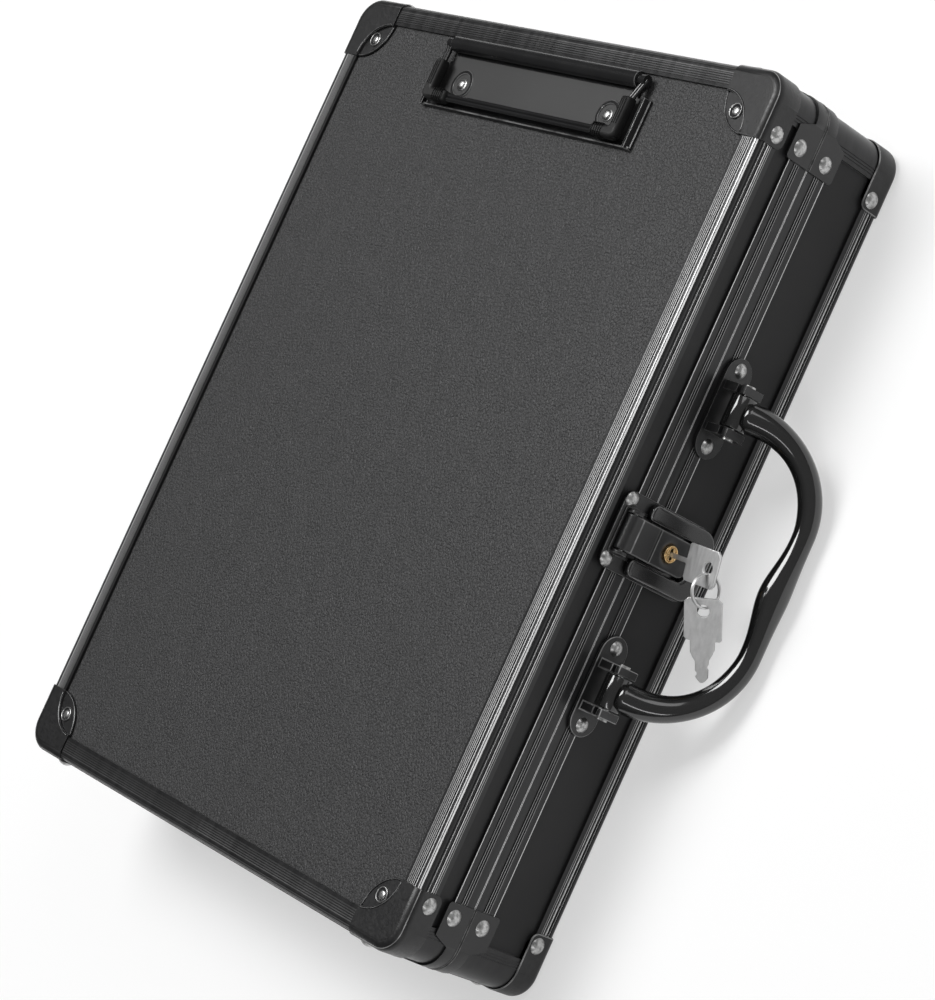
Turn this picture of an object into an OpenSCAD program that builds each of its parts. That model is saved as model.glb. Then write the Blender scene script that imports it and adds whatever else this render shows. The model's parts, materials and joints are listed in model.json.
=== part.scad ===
// Storage clipboard box: a framed case whose lid carries a paper clip.
// X runs from the hinge side to the latch side, Y towards the clip, Z up
// from the back of the case to the face of the lid. Sizes in millimetres.

/* [Case] */
// Width across the frame
case_w = 256; // [236:1:300]
// Length across the frame
case_l = 342; // [320:1:400]
// Height of the base, from its back flange to the parting line
base_h = 43; // [40:1:60]
// Height of the lid, from the parting line to its face flange
lid_h = 28; // [26:1:40]
// Gap between the two shut rims
part_gap = 0.2; // [0.1:0.05:0.4]
// Outside radius of the upright corners
corner_r = 10; // [8:0.5:12]
// Thickness of the side boards
board_t = 4; // [3:0.5:5]
// Thickness of the face board and the back board
panel_t = 3; // [2:0.5:5]
// Thickness of the linings
lining_t = 1.2; // [0.8:0.1:2]

/* [Fits] */
// Radial clearance of every turning fit
fit_gap = 0.05; // [0.03:0.01:0.09]
// Gap between neighbouring pieces of the frame
seam = 0.2; // [0.1:0.05:0.3]
// Gap between pieces that move past each other
slack = 0.3; // [0.2:0.05:0.4]

/* [Frame] */
// Wall of the frame extrusions
rail_t = 1.2; // [1:0.1:1.6]
// Outside rounding of the edge extrusions
rail_r = 2.5; // [2:0.1:3]
// Width of an edge extrusion on the face or the back
face_leg = 9.5; // [8:0.1:11]
// Width of an edge extrusion on the sides
side_leg = 9.6; // [8.5:0.1:11]
// Width of a rim extrusion on the sides
rim_leg = 10.3; // [9:0.1:11]
// Depth of a rim extrusion's inner flange
rim_inner = 6; // [4:0.5:8]
// Reach of a corner post's flange from the end of the case
post_leg = 14.5; // [13:0.1:16]
// Width of a fine rib
rib_w = 0.45; // [0.3:0.05:0.6]
// Height of a fine rib
rib_h = 0.3; // [0.2:0.05:0.4]
// Pitch of the ribs on the face flanges
face_rib_pitch = 0.9; // [0.8:0.05:1]
// Pitch of the ribs on the side flanges
side_rib_pitch = 1.1; // [0.9:0.05:1.2]
// Distance of the first rib from the edge on a face flange
face_rib_at = 4.4; // [4:0.1:5]
// Distance of the first rib from the edge on a side flange
side_rib_at = 3.2; // [3:0.1:5]
// Distance of the first rib from the curve of a corner post
post_rib_at = 0.1; // [0:0.1:1]
// Distance of the first rib from the parting line on a rim
rim_rib_at = 4.4; // [3.5:0.1:6]

/* [Corner caps] */
// Thickness of the caps and braces, which stand this much proud
cap_t = 0.8; // [0.6:0.1:1]
// Reach of a cap and a brace along each edge
cap_leg = 25.5; // [23:0.5:28]
// Height of a cap's skirt
cap_skirt = 12.2; // [11:0.1:13]
// Rounding of the free corners of a skirt
skirt_r = 3; // [1:0.5:5]
// Height of a brace's riveted tab
brace_tab = 13; // [12:0.5:14]
// Height of the band that a brace carries round the corner
brace_band = 5.8; // [4:0.1:7]
// Distance from the end of the case to where a brace's tab narrows
brace_step = 12.5; // [12:0.5:14]
// Length of the slant from a brace's tab to its band
brace_slant = 3; // [2:0.5:4]
// Rounding of a brace's free corner
brace_r = 1.5; // [0.5:0.5:3]
// Distance of the face eyelets from both edges
eyelet_inset = 17.2; // [16.5:0.1:18]
// Outside diameter of the face eyelets
eyelet_d = 6.2; // [5.5:0.1:6.5]
// Width of the flange round an eyelet's hole
eyelet_flange = 0.8; // [0.6:0.1:1.2]
// Height of the face eyelets
eyelet_h = 0.8; // [0.6:0.1:1]

/* [Rivets] */
// Diameter of the domed side rivets
rivet_d = 6.4; // [5.5:0.1:6.6]
// Diameter of the latch rivets
latch_rivet_d = 6; // [5:0.1:6.4]
// Diameter of the handle bracket rivets
bracket_rivet_d = 5.8; // [5:0.1:6.2]
// Height of a domed rivet head
rivet_h = 1.6; // [1:0.1:2]
// Distance of the cap rivets from the end of the case
cap_rivet_in = 21; // [20:0.1:22]
// Distance of the brace rivets from the end of the case
brace_rivet_in = 20.1; // [19:0.1:21.5]
// Depth of the lid cap rivets below the face
lid_cap_rivet = 6.7; // [5.5:0.1:7.5]
// Height of the back cap rivets above the back flange
back_cap_rivet = 7.2; // [5.5:0.1:7.5]
// Height of the lid brace rivets above the parting line
lid_brace_rivet = 8.2; // [6:0.1:9]
// Depth of the base brace rivets below the parting line
base_brace_rivet = 6.7; // [6:0.1:9]

/* [Hinge] */
// Gap between the piano hinge and the corner braces
hinge_gap = 5.5; // [2:0.5:30]
// Outside radius of a hinge knuckle
knuckle_r = 2; // [1.8:0.1:2.5]
// Radius of the hinge pin
hinge_pin_r = 1; // [0.8:0.05:1.1]
// Number of hinge knuckles, an odd number
knuckle_n = 9; // [5:2:15]
// Width of a hinge leaf
leaf_w = 9; // [7:0.5:10]
// Thickness of a hinge leaf
leaf_t = 0.8; // [0.6:0.1:1]

/* [Latch] */
// Shift of the latch from the middle of the case, towards the clip
latch_shift = -1; // [-3:0.5:3]
// Half the width of the latch plates
latch_half = 14.6; // [14:0.1:18]
// Thickness of the catch plate on the lid
catch_t = 1.6; // [1.2:0.1:1.8]
// Rounding of the catch plate's corners
catch_corner = 4.5; // [2:0.5:6]
// Thickness of the catch plate's ears
catch_ear = 1.5; // [1.2:0.1:2]
// Height of the catch plate above the parting line
catch_h = 16.6; // [16:0.1:18]
// Distance of the catch rivets from the middle
catch_rivet_y = 11.4; // [11.2:0.1:13]
// Height of the catch rivets above the parting line
catch_rivet_z = 13.6; // [13:0.1:14]
// Width of the hasp
hasp_w = 13.4; // [12:0.1:14]
// Length of the hasp below its hinge
hasp_l = 31.8; // [30:0.1:33]
// Thickness of the hasp's upper strip
hasp_t = 1.6; // [1.2:0.1:2]
// Outside radius of the hasp's barrel
hasp_barrel_r = 2.8; // [2.5:0.1:3]
// Radius of the hasp's hinge pin
hasp_pin_r = 1; // [0.8:0.05:1.2]
// Height of the hasp's hinge above the parting line
hasp_z = 10.8; // [10.5:0.1:12]
// Thickness of the hasp's lower block
hasp_block_t = 3.2; // [2.6:0.1:3.4]
// Depth of the ridge where the block starts, below the hasp's hinge
hasp_ridge = 12.8; // [11:0.1:15]
// Rounding of the hasp's lower corners
hasp_corner = 3; // [2:0.5:4]
// Depth of the hasp's round dish
dish_depth = 0.9; // [0.5:0.1:1.2]
// Radius of the ball that shapes the dish
dish_r = 20; // [15:1:30]
// Distance of the hasp's hinge from the frame
hasp_x = 3.6; // [3.5:0.1:4]
// Depth of the lock below the hasp's hinge
lock_drop = 21.8; // [20:0.1:23]
// Diameter of the lock cylinder
lock_d = 6.6; // [6:0.1:7]
// Diameter of the lock plug
plug_d = 5; // [4.6:0.1:5.2]
// Height of the bezel's side walls above the frame
bezel_h = 5; // [4.5:0.1:5.2]
// Half the width of the bezel's channel
channel_half = 7.6; // [7.4:0.1:8]
// Thickness of the bezel's flange
bezel_flange = 0.6; // [0.5:0.1:0.8]
// Rounding of the bezel's corners
bezel_corner = 6; // [4:0.5:7]
// Step from the bezel's flange in to its walls
bezel_step = 0.4; // [0.2:0.1:0.8]
// Gap between the hasp's end and the bezel's channel
channel_gap = 2.6; // [1:0.1:4]
// Thickness of the lock's cam
cam_t = 0.9; // [0.7:0.05:1]
// Width of the lock's cam
cam_w = 3; // [2:0.5:4]
// Reach of the cam's ends into the bezel's walls
cam_tuck = 1.4; // [1:0.1:2]
// Step from the hasp's face back to the lock and its plug
lock_recess = 0.2; // [0.1:0.05:0.4]
// Depth of the plug behind its key slot
plug_back = 1.5; // [1:0.1:2]
// Length of the bezel below the parting line
bezel_l = 32.8; // [32:0.1:33]
// Rise of the bezel's horns above the parting line
horn_h = 5; // [3:0.5:5.5]

/* [Keys] */
// Thickness of a key
key_t = 1.2; // [1:0.1:1.4]
// Width of a key's head
key_head_w = 13.8; // [12:0.2:15]
// Length of a key's head
key_head_l = 16; // [14:0.5:18]
// Width of a key's shoulder
key_neck_w = 9; // [8:0.5:10]
// Width of a key's blade
key_blade_w = 4.3; // [4:0.1:4.4]
// Rounding of a key's head
key_corner = 1.4; // [0.8:0.1:2.5]
// Length of a key's straight shoulder
key_shoulder = 4.1; // [3:0.1:5]
// Length of the taper from a key's shoulder to its blade
key_taper = 4.4; // [3:0.1:4.4]
// Chamfer at the tip of a key
key_tip = 1.1; // [0.4:0.1:1.5]
// Length of the spare key's blade and shoulder
key_shank_l = 16; // [12:0.5:16.5]
// Reach of the lock key's shoulder out of the plug
key_out = 8.5; // [6:0.5:9]
// Radius of the hole in a key's head
key_hole_r = 2.4; // [2.3:0.05:2.6]
// Distance of that hole from the end of the head
key_hole_in = 4.7; // [4.2:0.1:5]
// Lean of the key in the lock from the length of the case
key_lean = 14; // [0:1:20]
// Mean radius of the split ring
ring_r = 6.1; // [5.8:0.1:6.5]
// Pitch of doubled wires, as a share of their diameter
turn_pitch = 0.84; // [0.7:0.02:0.9]
// Wire diameter of the split ring
ring_wire = 0.8; // [0.7:0.05:0.9]
// Gap between the ring's wire and the edge of the lock key's hole
lock_key_gap = 0.1; // [0.05:0.05:0.3]
// Gap between the ring's wire and the edge of the spare key's hole
spare_key_gap = 1.05; // [0.9:0.05:1.2]
// Compass angle of the line that the ring hangs along, from +X
ring_az = -81; // [-85:1:-75]
// Rise of the line that the ring hangs along
ring_el = -14; // [-20:1:-10]
// Twist of the ring about its line
ring_twist = -81; // [-86:1:-76]
// Compass angle of the line that the spare key hangs along, from +X
spare_az = -91; // [-95:1:-87]
// Rise of the line that the spare key hangs along
spare_el = -32; // [-38:1:-26]
// Twist of the spare key about its line
spare_twist = -127; // [-131:1:-123]

/* [Handle] */
// Distance of each bracket's middle from the middle of the case
bracket_y = 55; // [50:0.5:60]
// Length of a bracket's plate
bracket_l = 39; // [38:0.5:44]
// Width of a bracket's plate
bracket_w = 13.2; // [12.5:0.1:14]
// Thickness of a bracket's plate
bracket_t = 1.4; // [1.2:0.1:1.8]
// Distance of the bracket rivets from its middle
bracket_rivet = 15; // [14.5:0.5:15.5]
// Distance of the ears from the bracket's middle
ear_y = 8.3; // [8:0.1:9]
// Thickness of an ear
ear_t = 3.2; // [2.5:0.1:3.5]
// Width of an ear
ear_w = 9.6; // [8.5:0.1:11]
// Reach of the ears beyond the handle's pivot
ear_tip = 3.2; // [2.6:0.1:4]
// Width of the slot from the pin to the top of an ear
ear_slot = 2; // [1.6:0.1:2]
// Distance of the handle's pivot from the frame
pivot_x = 9.3; // [9:0.1:10]
// Depth of the handle's pivot below the parting line
pivot_drop = 9.5; // [8:0.5:10]
// Radius of a handle pin
handle_pin_r = 1.2; // [1:0.05:1.4]
// Overhang of a pin's head round the pin
pin_head = 1; // [0.5:0.1:1.5]
// Thickness of a pin's head
pin_head_t = 0.8; // [0.5:0.1:1]
// Radius of the handle's arms
arm_r = 4.5; // [4:0.1:4.8]
// Extra radius of the barrels that turn on the pins
barrel_extra = 0.4; // [0.2:0.1:0.8]
// Radius of the handle's grip at its middle
grip_r = 5.8; // [5:0.1:6.5]
// Half the length of the grip's swelling
grip_half = 17; // [12:1:22]
// Reach of the grip's centre line from the pivot
grip_reach = 39; // [36:0.5:45]
// Radius of the handle's bends
bend_r = 31.5; // [28:0.5:33]
// Angle that the resting handle droops below level
droop = 45; // [30:1:46]

/* [Clip] */
// Half the width of the clip's base plate
clip_half = 64.5; // [60:0.5:75]
// Shift of the clip from the middle of the case, towards the latch
clip_shift = 1.5; // [0:0.5:3]
// Distance of the clip's spine from the end of the case
spine_in = 13.2; // [12.8:0.1:18]
// Outside radius of the spine
spine_r = 3.3; // [3.2:0.1:4]
// Bore radius of the spine
spine_bore = 2.25; // [2:0.05:2.4]
// Radius of the torsion rod in the spine
rod_r = 1.35; // [1:0.05:1.5]
// Distance of the spine's ends from the ends of the plate
spine_short = 8; // [7.5:0.5:9]
// Width of the clip's plate below its spine
clip_drop = 27; // [26:0.5:32]
// Thickness of the clip's plate
clip_t = 1.2; // [1:0.1:1.5]
// Width and height of the plate's raised ends
clip_border = 2.4; // [1.5:0.1:3]
// Width and height of the plate's front lip
clip_lip = 1; // [0.6:0.1:1.2]
// Distance of the clip rivets from the clip's middle
clip_rivet_x = 45; // [40:0.5:50]
// Distance of the clip rivets below the spine
clip_rivet_drop = 15.5; // [14:0.5:17]
// Diameter of the embossed rings round the clip rivets
emboss_d = 12.4; // [11:0.2:14]
// Height of an embossed ring
emboss_h = 0.5; // [0.3:0.1:0.8]
// Width of an embossed ring
emboss_w = 1.5; // [1:0.1:2]
// Diameter of the clip's rivets
clip_rivet_d = 5.4; // [4.5:0.1:6]
// Height of the clip's rivets
clip_rivet_h = 1.3; // [0.8:0.1:1.6]
// Diameter of the jaw's wires
wire_d = 1.8; // [1.6:0.1:2]
// Height of the jaw's bar above the clip's plate
jaw_h = 4; // [3.6:0.1:5]
// Distance of the jaw's bar below the spine
jaw_drop = 23; // [22:0.5:24]
// Distance of the jaw's corners from the ends of the plate
jaw_short = 7; // [6.5:0.5:9]
// Width of a rubber grip
grip_w = 5.6; // [5:0.1:6]
// Height of a rubber grip
grip_h = 6.8; // [6:0.1:7.5]
// Length of a rubber grip along the bar
grip_bar = 15; // [12:0.5:18]
// Length of a rubber grip along the arm
grip_arm = 17.5; // [15:0.5:18]
// Width of a rib on the rubber grips
grip_rib = 0.9; // [0.6:0.1:1.2]
// Distance of the jaw's bends below the spine
jaw_bend = 10.2; // [9:0.1:11]
// Sideways splay of the jaw's arms towards the spine
jaw_splay = 2.2; // [2:0.1:2.6]
// Length of the jaw's stubs inside the spine
spine_stub = 9; // [6:0.5:11]

/* [Hidden] */
$fn = 48;
eps = 0.01;
z_frame = cap_t;
z_part = z_frame + base_h;
z_face = z_part + lid_h;
z_lid_rim = z_part + part_gap / 2;
z_base_rim = z_part - part_gap / 2;
half_w = case_w / 2;
half_l = case_l / 2;
board_out = rail_t;
board_in = rail_t + board_t;
rim_in = board_in + rail_t;
rail_stop = post_leg + seam;
rib_stop = cap_leg + slack;
rib_x = half_w + rib_h;
panel_z = z_face - rail_t;
step_r = cap_leg - face_leg;
corner_at = cap_leg - corner_r;
hinge_l = case_l - 2 * (cap_leg + hinge_gap);
hinge_x = -(rib_x + knuckle_r + seam / 2);
hasp_axis = [half_w + hasp_x, 0, z_part + hasp_z];
hasp_front = hasp_axis.x + hasp_barrel_r;
lock_z = hasp_axis.z - lock_drop;
catch_x = rib_x + catch_t;
cam_x = rib_x + bezel_flange + slack / 2;
cam_half = channel_half + cam_tuck;
lock_back = cam_x + cam_t;
plug_front = hasp_front - 1.5 * lock_recess;
slot_back = lock_back + plug_back;
pivot = [half_w + pivot_x, 0, z_part - pivot_drop];
clip_top = panel_z + clip_t;
spine_y = half_l - spine_in;
spine_z = panel_z + spine_r;
spine_half = clip_half - spine_short;
jaw_half = clip_half - jaw_short;
jaw_y = spine_y - jaw_drop;
jaw_z = clip_top + jaw_h;
head_x = hasp_front + key_out;
ring_dir = pointing(ring_az, ring_el);
spare_dir = pointing(spare_az, spare_el);
hole_at = [head_x + key_head_l - key_hole_in, latch_shift, lock_z];
ring_top = hole_at + (key_hole_r - ring_wire / 2 - lock_key_gap) * ring_dir;
ring_low = ring_top + 2 * ring_r * ring_dir;
spare_hole = ring_low + (key_hole_r - ring_wire / 2 - spare_key_gap) * spare_dir;

function unit(v) = v / norm(v);

// Direction with a compass angle from +X and a rise above level.
function pointing(az, el) = [cos(el) * cos(az), cos(el) * sin(az), sin(el)];

// Normal to a direction, turned about it by an angle.
function twisted(dir, angle) =
    let (side = unit(cross([0, 0, 1], dir)))
    cos(angle) * side + sin(angle) * cross(dir, side);

// Turns that carry X onto a and Y onto b.
function turns(a, b) = [
    atan2(b.z, cross(a, b).z), asin(-a.z), atan2(a.y, a.x)
];

// Rectangle centred on the origin with true round corners.
module round_rect(w, l, r) {
    square([w - 2 * r, l], center = true);
    square([w, l - 2 * r], center = true);
    for (x = [-1, 1], y = [-1, 1])
        translate([x * (w / 2 - r), y * (l / 2 - r)])
            circle(r);
}

// The children at both long sides of the case, or at both of its ends.
module on_sides(ends) {
    for (m = [0, 1])
        rotate([0, 0, (ends ? 90 : 0) + 180 * m])
            translate([ends ? half_l : half_w, 0, 0])
                children();
}

function side_length(ends) = ends ? case_w : case_l;

// The children's X-Z outline drawn out along Y, centred.
module along_y(length) {
    rotate([90, 0, 0])
        linear_extrude(length, center = true)
            children();
}

// One child at each corner of the case, drawn for the +X +Y corner.
module at_corners() {
    for (sx = [0, 1], sy = [0, 1])
        mirror([sx, 0, 0])
            mirror([0, sy, 0])
                children();
}

// L-shaped section with its outside corner at the origin.
module edge_section(leg_x, leg_z, t, r, inner = 0) {
    far = 2 * r + 1;
    difference() {
        union() {
            translate([-r, -r])
                circle(r);
            translate([-leg_x, -t])
                square([leg_x - r, t]);
            translate([-t, -leg_z])
                square([t, leg_z - r]);
        }
        translate([-far, -far])
            square([far - t - inner, far - t]);
        translate([-far, -far])
            square([far - t, far - t - inner]);
        if (inner > 0)
            translate([-t - inner, -t - inner])
                circle(inner);
    }
}

// Fine ribs on an edge extrusion's two flanges.
module edge_ribs() {
    for (i = [0:4])
        translate([-face_rib_at - i * face_rib_pitch, -eps])
            square([rib_w, rib_h + eps]);
    for (i = [0:2])
        translate([-eps, -side_rib_at - i * side_rib_pitch])
            square([rib_h + eps, rib_w]);
}

// The edge extrusions of two opposite sides.
module edge_pair(ends) {
    on_sides(ends) {
        along_y(side_length(ends) - 2 * rail_stop)
            edge_section(face_leg, side_leg, rail_t, rail_r);
        along_y(side_length(ends) - 2 * rib_stop)
            edge_ribs();
    }
}

// Rim extrusion, a channel that holds the open edge of a side board.
module rim_section() {
    translate([-rail_t, 0])
        square([rail_t, rim_leg]);
    translate([-rim_in, 0])
        square([rim_in, rail_t]);
    translate([-rim_in, 0])
        square([rail_t, rim_inner]);
}

module rim_pair(ends) {
    on_sides(ends) {
        along_y(side_length(ends) - 2 * rail_stop)
            rim_section();
        along_y(side_length(ends) - 2 * rib_stop)
            for (i = [0:2])
                translate([-eps, rim_rib_at + i * side_rib_pitch])
                    square([rib_h + eps, rib_w]);
    }
}

// Upright corner post with a flange along each side.
module post_section() {
    difference() {
        union() {
            circle(corner_r);
            translate([corner_r - post_leg, corner_r - rail_t])
                square([post_leg - corner_r, rail_t]);
            translate([corner_r - rail_t, corner_r - post_leg])
                square([rail_t, post_leg - corner_r]);
        }
        circle(corner_r - rail_t);
        translate([-2 * corner_r, -2 * corner_r])
            square([2 * corner_r, 3 * corner_r - rail_t]);
        translate([-corner_r, -2 * corner_r])
            square([2 * corner_r - rail_t, 2 * corner_r]);
    }
}

// Posts standing on a rim at z = 0; their ribs end short of the brace and cap.
module post_set(height, skirt_z) {
    slope = (brace_tab - brace_band) / brace_slant;
    at_corners()
        translate([half_w - corner_r, half_l - corner_r, 0]) {
            linear_extrude(height)
                post_section();
            for (m = [0, 1], i = [0:2])
                mirror([m, -m, 0]) {
                    d = post_rib_at + i * side_rib_pitch;
                    over = (d + rib_w + corner_r - brace_step + brace_slant) * slope;
                    low = brace_band + min(max(0, over), brace_tab - brace_band) + slack;
                    translate([-d - rib_w, corner_r - eps, low])
                        cube([rib_w, rib_h + eps, skirt_z - slack - low]);
                }
        }
}

// The boards of two opposite sides, between two heights.
module board_pair(ends, z0, z1) {
    length = side_length(ends) - 2 * corner_r;
    on_sides(ends)
        translate([-board_in, -length / 2, z0])
            cube([board_t, length, z1 - z0]);
}

// Tray-shaped lining, open downwards or upwards.
module lining(z0, z1, floor_z) {
    w = case_w - 2 * board_in;
    l = case_l - 2 * board_in;
    difference() {
        translate([-w / 2, -l / 2, z0])
            cube([w, l, z1 - z0]);
        translate([lining_t - w / 2, lining_t - l / 2, floor_z])
            cube([w - 2 * lining_t, l - 2 * lining_t, z1 - z0]);
    }
}

// Outside skin of a corner cap: flat band, rounded edge and skirt.
module cap_skin() {
    leg = corner_at;
    r = rail_r + cap_t;
    reach = corner_r + cap_t;
    rotate_extrude(angle = 90)
        translate([reach, 0])
            edge_section(reach, cap_skirt, cap_t, r, rail_r);
    for (m = [0, 1])
        mirror([m, -m, 0])
            translate([reach, -leg / 2, 0])
                difference() {
                    along_y(leg)
                        edge_section(reach, cap_skirt, cap_t, r, rail_r);
                    translate([-cap_t - eps, -leg / 2 - eps, -cap_skirt - eps])
                        rotate([0, 90, 0])
                            skirt_corner(skirt_r);
                }
}

// What rounds off the free lower corner of a skirt.
module skirt_corner(r) {
    linear_extrude(cap_t + 1)
        translate([-r, 0])
            difference() {
                translate([eps, -eps])
                    square(r);
                translate([0, r])
                    circle(r);
            }
}

// Face side of a front cap: the band's inner fill and the sunken lens.
module cap_lens() {
    translate([-corner_at, -corner_at, -cap_t])
        linear_extrude(cap_t)
            difference() {
                square([corner_at + eps, corner_at + eps]);
                circle(step_r - eps);
            }
    translate([-corner_at, -corner_at, -rail_t - cap_t])
        linear_extrude(rail_t + cap_t)
            intersection() {
                difference() {
                    circle(step_r);
                    circle(step_r - cap_t);
                }
                square(step_r);
            }
    translate([-corner_at, -corner_at, -rail_t - cap_t])
        linear_extrude(cap_t)
            intersection() {
                circle(step_r);
                translate([step_r, step_r])
                    circle(step_r);
            }
}

module lid_cap(sx, sy) {
    mirror([sx, 0, 0])
        mirror([0, sy, 0])
            translate([half_w - corner_r, half_l - corner_r, z_face + cap_t]) {
                cap_skin();
                cap_lens();
            }
}

module back_cap(sx, sy) {
    mirror([sx, 0, 0])
        mirror([0, sy, 0])
            translate([half_w - corner_r, half_l - corner_r, 0])
                mirror([0, 0, 1])
                    cap_skin();
}

// Outline of a brace's leg in its own plane, from the free end inwards.
module brace_outline() {
    step = cap_leg - brace_step;
    difference() {
        polygon([
            [0, 0], [cap_leg - corner_r, 0], [cap_leg - corner_r, brace_band],
            [step + brace_slant, brace_band], [step, brace_tab], [0, brace_tab]
        ]);
        translate([brace_r, brace_tab - brace_r])
            difference() {
                translate([-brace_r - eps, 0])
                    square(brace_r + eps);
                circle(brace_r);
            }
    }
}

// Stamped brace round one corner of a rim, its rim edge at z = 0.
module brace() {
    translate([half_w - corner_r, half_l - corner_r, 0]) {
        rotate_extrude(angle = 90)
            translate([corner_r, 0])
                square([cap_t, brace_band]);
        for (m = [0, 1])
            mirror([m, -m, 0])
                translate([corner_r, -corner_at, 0])
                    rotate([90, 0, 90])
                        linear_extrude(cap_t)
                            brace_outline();
    }
}

// Domed rivet head that stands on the plane z = 0.
module dome(d, h) {
    r = (d * d / 4 + h * h) / (2 * h);
    intersection() {
        translate([0, 0, h - r])
            sphere(r);
        cylinder(d = d + 1, h = 2 * h);
    }
}

// Domed rivets at all eight places of one height on caps or braces.
module side_rivets(inset, z) {
    at_corners() {
        translate([half_w + cap_t, half_l - inset, z])
            rotate([0, 90, 0])
                dome(rivet_d, rivet_h);
        translate([half_w - inset, half_l + cap_t, z])
            rotate([-90, 0, 0])
                dome(rivet_d, rivet_h);
    }
}

module lid_panel() {
    color("#3f3f3f")
        translate([0, 0, panel_z - panel_t])
            linear_extrude(panel_t)
                round_rect(case_w - 2 * board_out, case_l - 2 * board_out, corner_r - rail_t);
}

module lid_lining() {
    top = panel_z - panel_t;
    low = z_lid_rim + rim_inner;
    color("#2a2a2a")
        translate([0, 0, top])
            mirror([0, 0, 1])
                lining(0, top - low, lining_t);
}

module lid_long_boards() {
    color("#262626")
        board_pair(false, z_lid_rim + rail_t, panel_z - panel_t);
}

module lid_short_boards() {
    color("#262626")
        board_pair(true, z_lid_rim + rail_t, panel_z - panel_t);
}

module lid_edge_sides() {
    color("#3a3a3c")
        translate([0, 0, z_face])
            edge_pair(false);
}

module lid_edge_ends() {
    color("#3a3a3c")
        translate([0, 0, z_face])
            edge_pair(true);
}

module lid_rim_sides() {
    color("#323234")
        translate([0, 0, z_lid_rim])
            rim_pair(false);
}

module lid_rim_ends() {
    color("#323234")
        translate([0, 0, z_lid_rim])
            rim_pair(true);
}

module lid_corner_posts() {
    color("#2c2c2e")
        translate([0, 0, z_lid_rim])
            post_set(z_face - rail_r - z_lid_rim, z_face + cap_t - cap_skirt - z_lid_rim);
}

module lid_braces() {
    color("#2b2b2b")
        translate([0, 0, z_lid_rim])
            at_corners()
                brace();
}

module lid_rivets() {
    color("#8f9093") {
        side_rivets(cap_rivet_in, z_face - lid_cap_rivet);
        side_rivets(brace_rivet_in, z_part + lid_brace_rivet);
    }
}

// Flanged hollow rivet with a round bottom in the lens of each cap.
module cap_eyelets() {
    color("#b9babd")
        at_corners()
            translate([half_w - eyelet_inset, half_l - eyelet_inset, z_face + cap_t - rail_t])
                difference() {
                    cylinder(d = eyelet_d, h = eyelet_h);
                    translate([0, 0, eyelet_h / 3])
                        cylinder(d = eyelet_d - 2 * eyelet_flange, h = eyelet_h);
                }
}

module knuckles(phase) {
    seg = hinge_l / knuckle_n;
    for (i = [phase:2:knuckle_n - 1])
        translate([0, i * seg - hinge_l / 2 + slack / 2, 0])
            rotate([-90, 0, 0])
                cylinder(r = knuckle_r, h = seg - slack);
}

// Hinge leaf with its flat to +Z; phase picks every second knuckle.
module hinge_leaf(phase) {
    seg = hinge_l / knuckle_n;
    inner = -hinge_x - rib_x;
    root = knuckle_r + slack;
    translate([hinge_x, 0, z_part])
        difference() {
            union() {
                knuckles(phase);
                translate([inner - leaf_t, -hinge_l / 2, root])
                    cube([leaf_t, hinge_l, leaf_w - root]);
                for (i = [phase:2:knuckle_n - 1])
                    translate([inner - leaf_t, i * seg - hinge_l / 2 + slack / 2, 0])
                        cube([leaf_t - seam / 2, seg - slack, root + eps]);
            }
            rotate([90, 0, 0])
                cylinder(r = hinge_pin_r + fit_gap, h = hinge_l + 2, center = true);
        }
}

module hinge_leaf_lid() {
    color("#4a4a4c")
        hinge_leaf(1);
}

module hinge_leaf_base() {
    color("#4a4a4c")
        translate([0, 0, z_part])
            mirror([0, 0, 1])
                translate([0, 0, -z_part])
                    hinge_leaf(0);
}

module hinge_pin() {
    color("#8a8a8c")
        translate([hinge_x, 0, z_part])
            rotate([90, 0, 0])
                cylinder(r = hinge_pin_r, h = hinge_l, center = true);
}

// Plate outline in Y-Z with its two far corners rounded.
module plate_outline(h, r) {
    translate([-latch_half, 0])
        square([2 * latch_half, h - r]);
    translate([r - latch_half, 0])
        square([2 * (latch_half - r), h]);
    for (s = [-1, 1])
        translate([s * (latch_half - r), h - r])
            circle(r);
}

// The children at the latch's place along the side.
module at_latch() {
    translate([0, latch_shift, 0])
        children();
}

// The children's Y-Z outline drawn out along X from x0.
module along_x(x0, length) {
    translate([x0, 0, 0])
        rotate([90, 0, 90])
            linear_extrude(length)
                children();
}

module catch_plate() {
    ear = catch_ear;
    ear_at = hasp_w / 2 + slack;
    color("#242424")
        at_latch()
            difference() {
                union() {
                    along_x(rib_x, catch_t)
                        translate([0, z_lid_rim])
                            plate_outline(catch_h, catch_corner);
                    for (s = [-1, 1])
                        translate([0, s * (ear_at + ear / 2), 0]) {
                            translate([hasp_axis.x, 0, hasp_axis.z])
                                rotate([90, 0, 0])
                                    cylinder(r = hasp_barrel_r, h = ear, center = true);
                            translate([rib_x + eps, -ear / 2, hasp_axis.z - hasp_barrel_r])
                                cube([hasp_x - rib_h, ear, 2 * hasp_barrel_r]);
                        }
                }
                translate(hasp_axis)
                    rotate([90, 0, 0])
                        cylinder(r = hasp_pin_r, h = 2 * latch_half, center = true);
                translate([hasp_axis.x, -ear_at, hasp_axis.z])
                    rotate([-90, 0, 0])
                        cylinder(r = hasp_barrel_r + slack, h = 2 * ear_at);
            }
}

module catch_rivets() {
    color("#9a9b9e")
        at_latch()
            for (s = [-1, 1])
                translate([catch_x, s * catch_rivet_y, z_part + catch_rivet_z])
                    rotate([0, 90, 0])
                        dome(latch_rivet_d, rivet_h);
}

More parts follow.
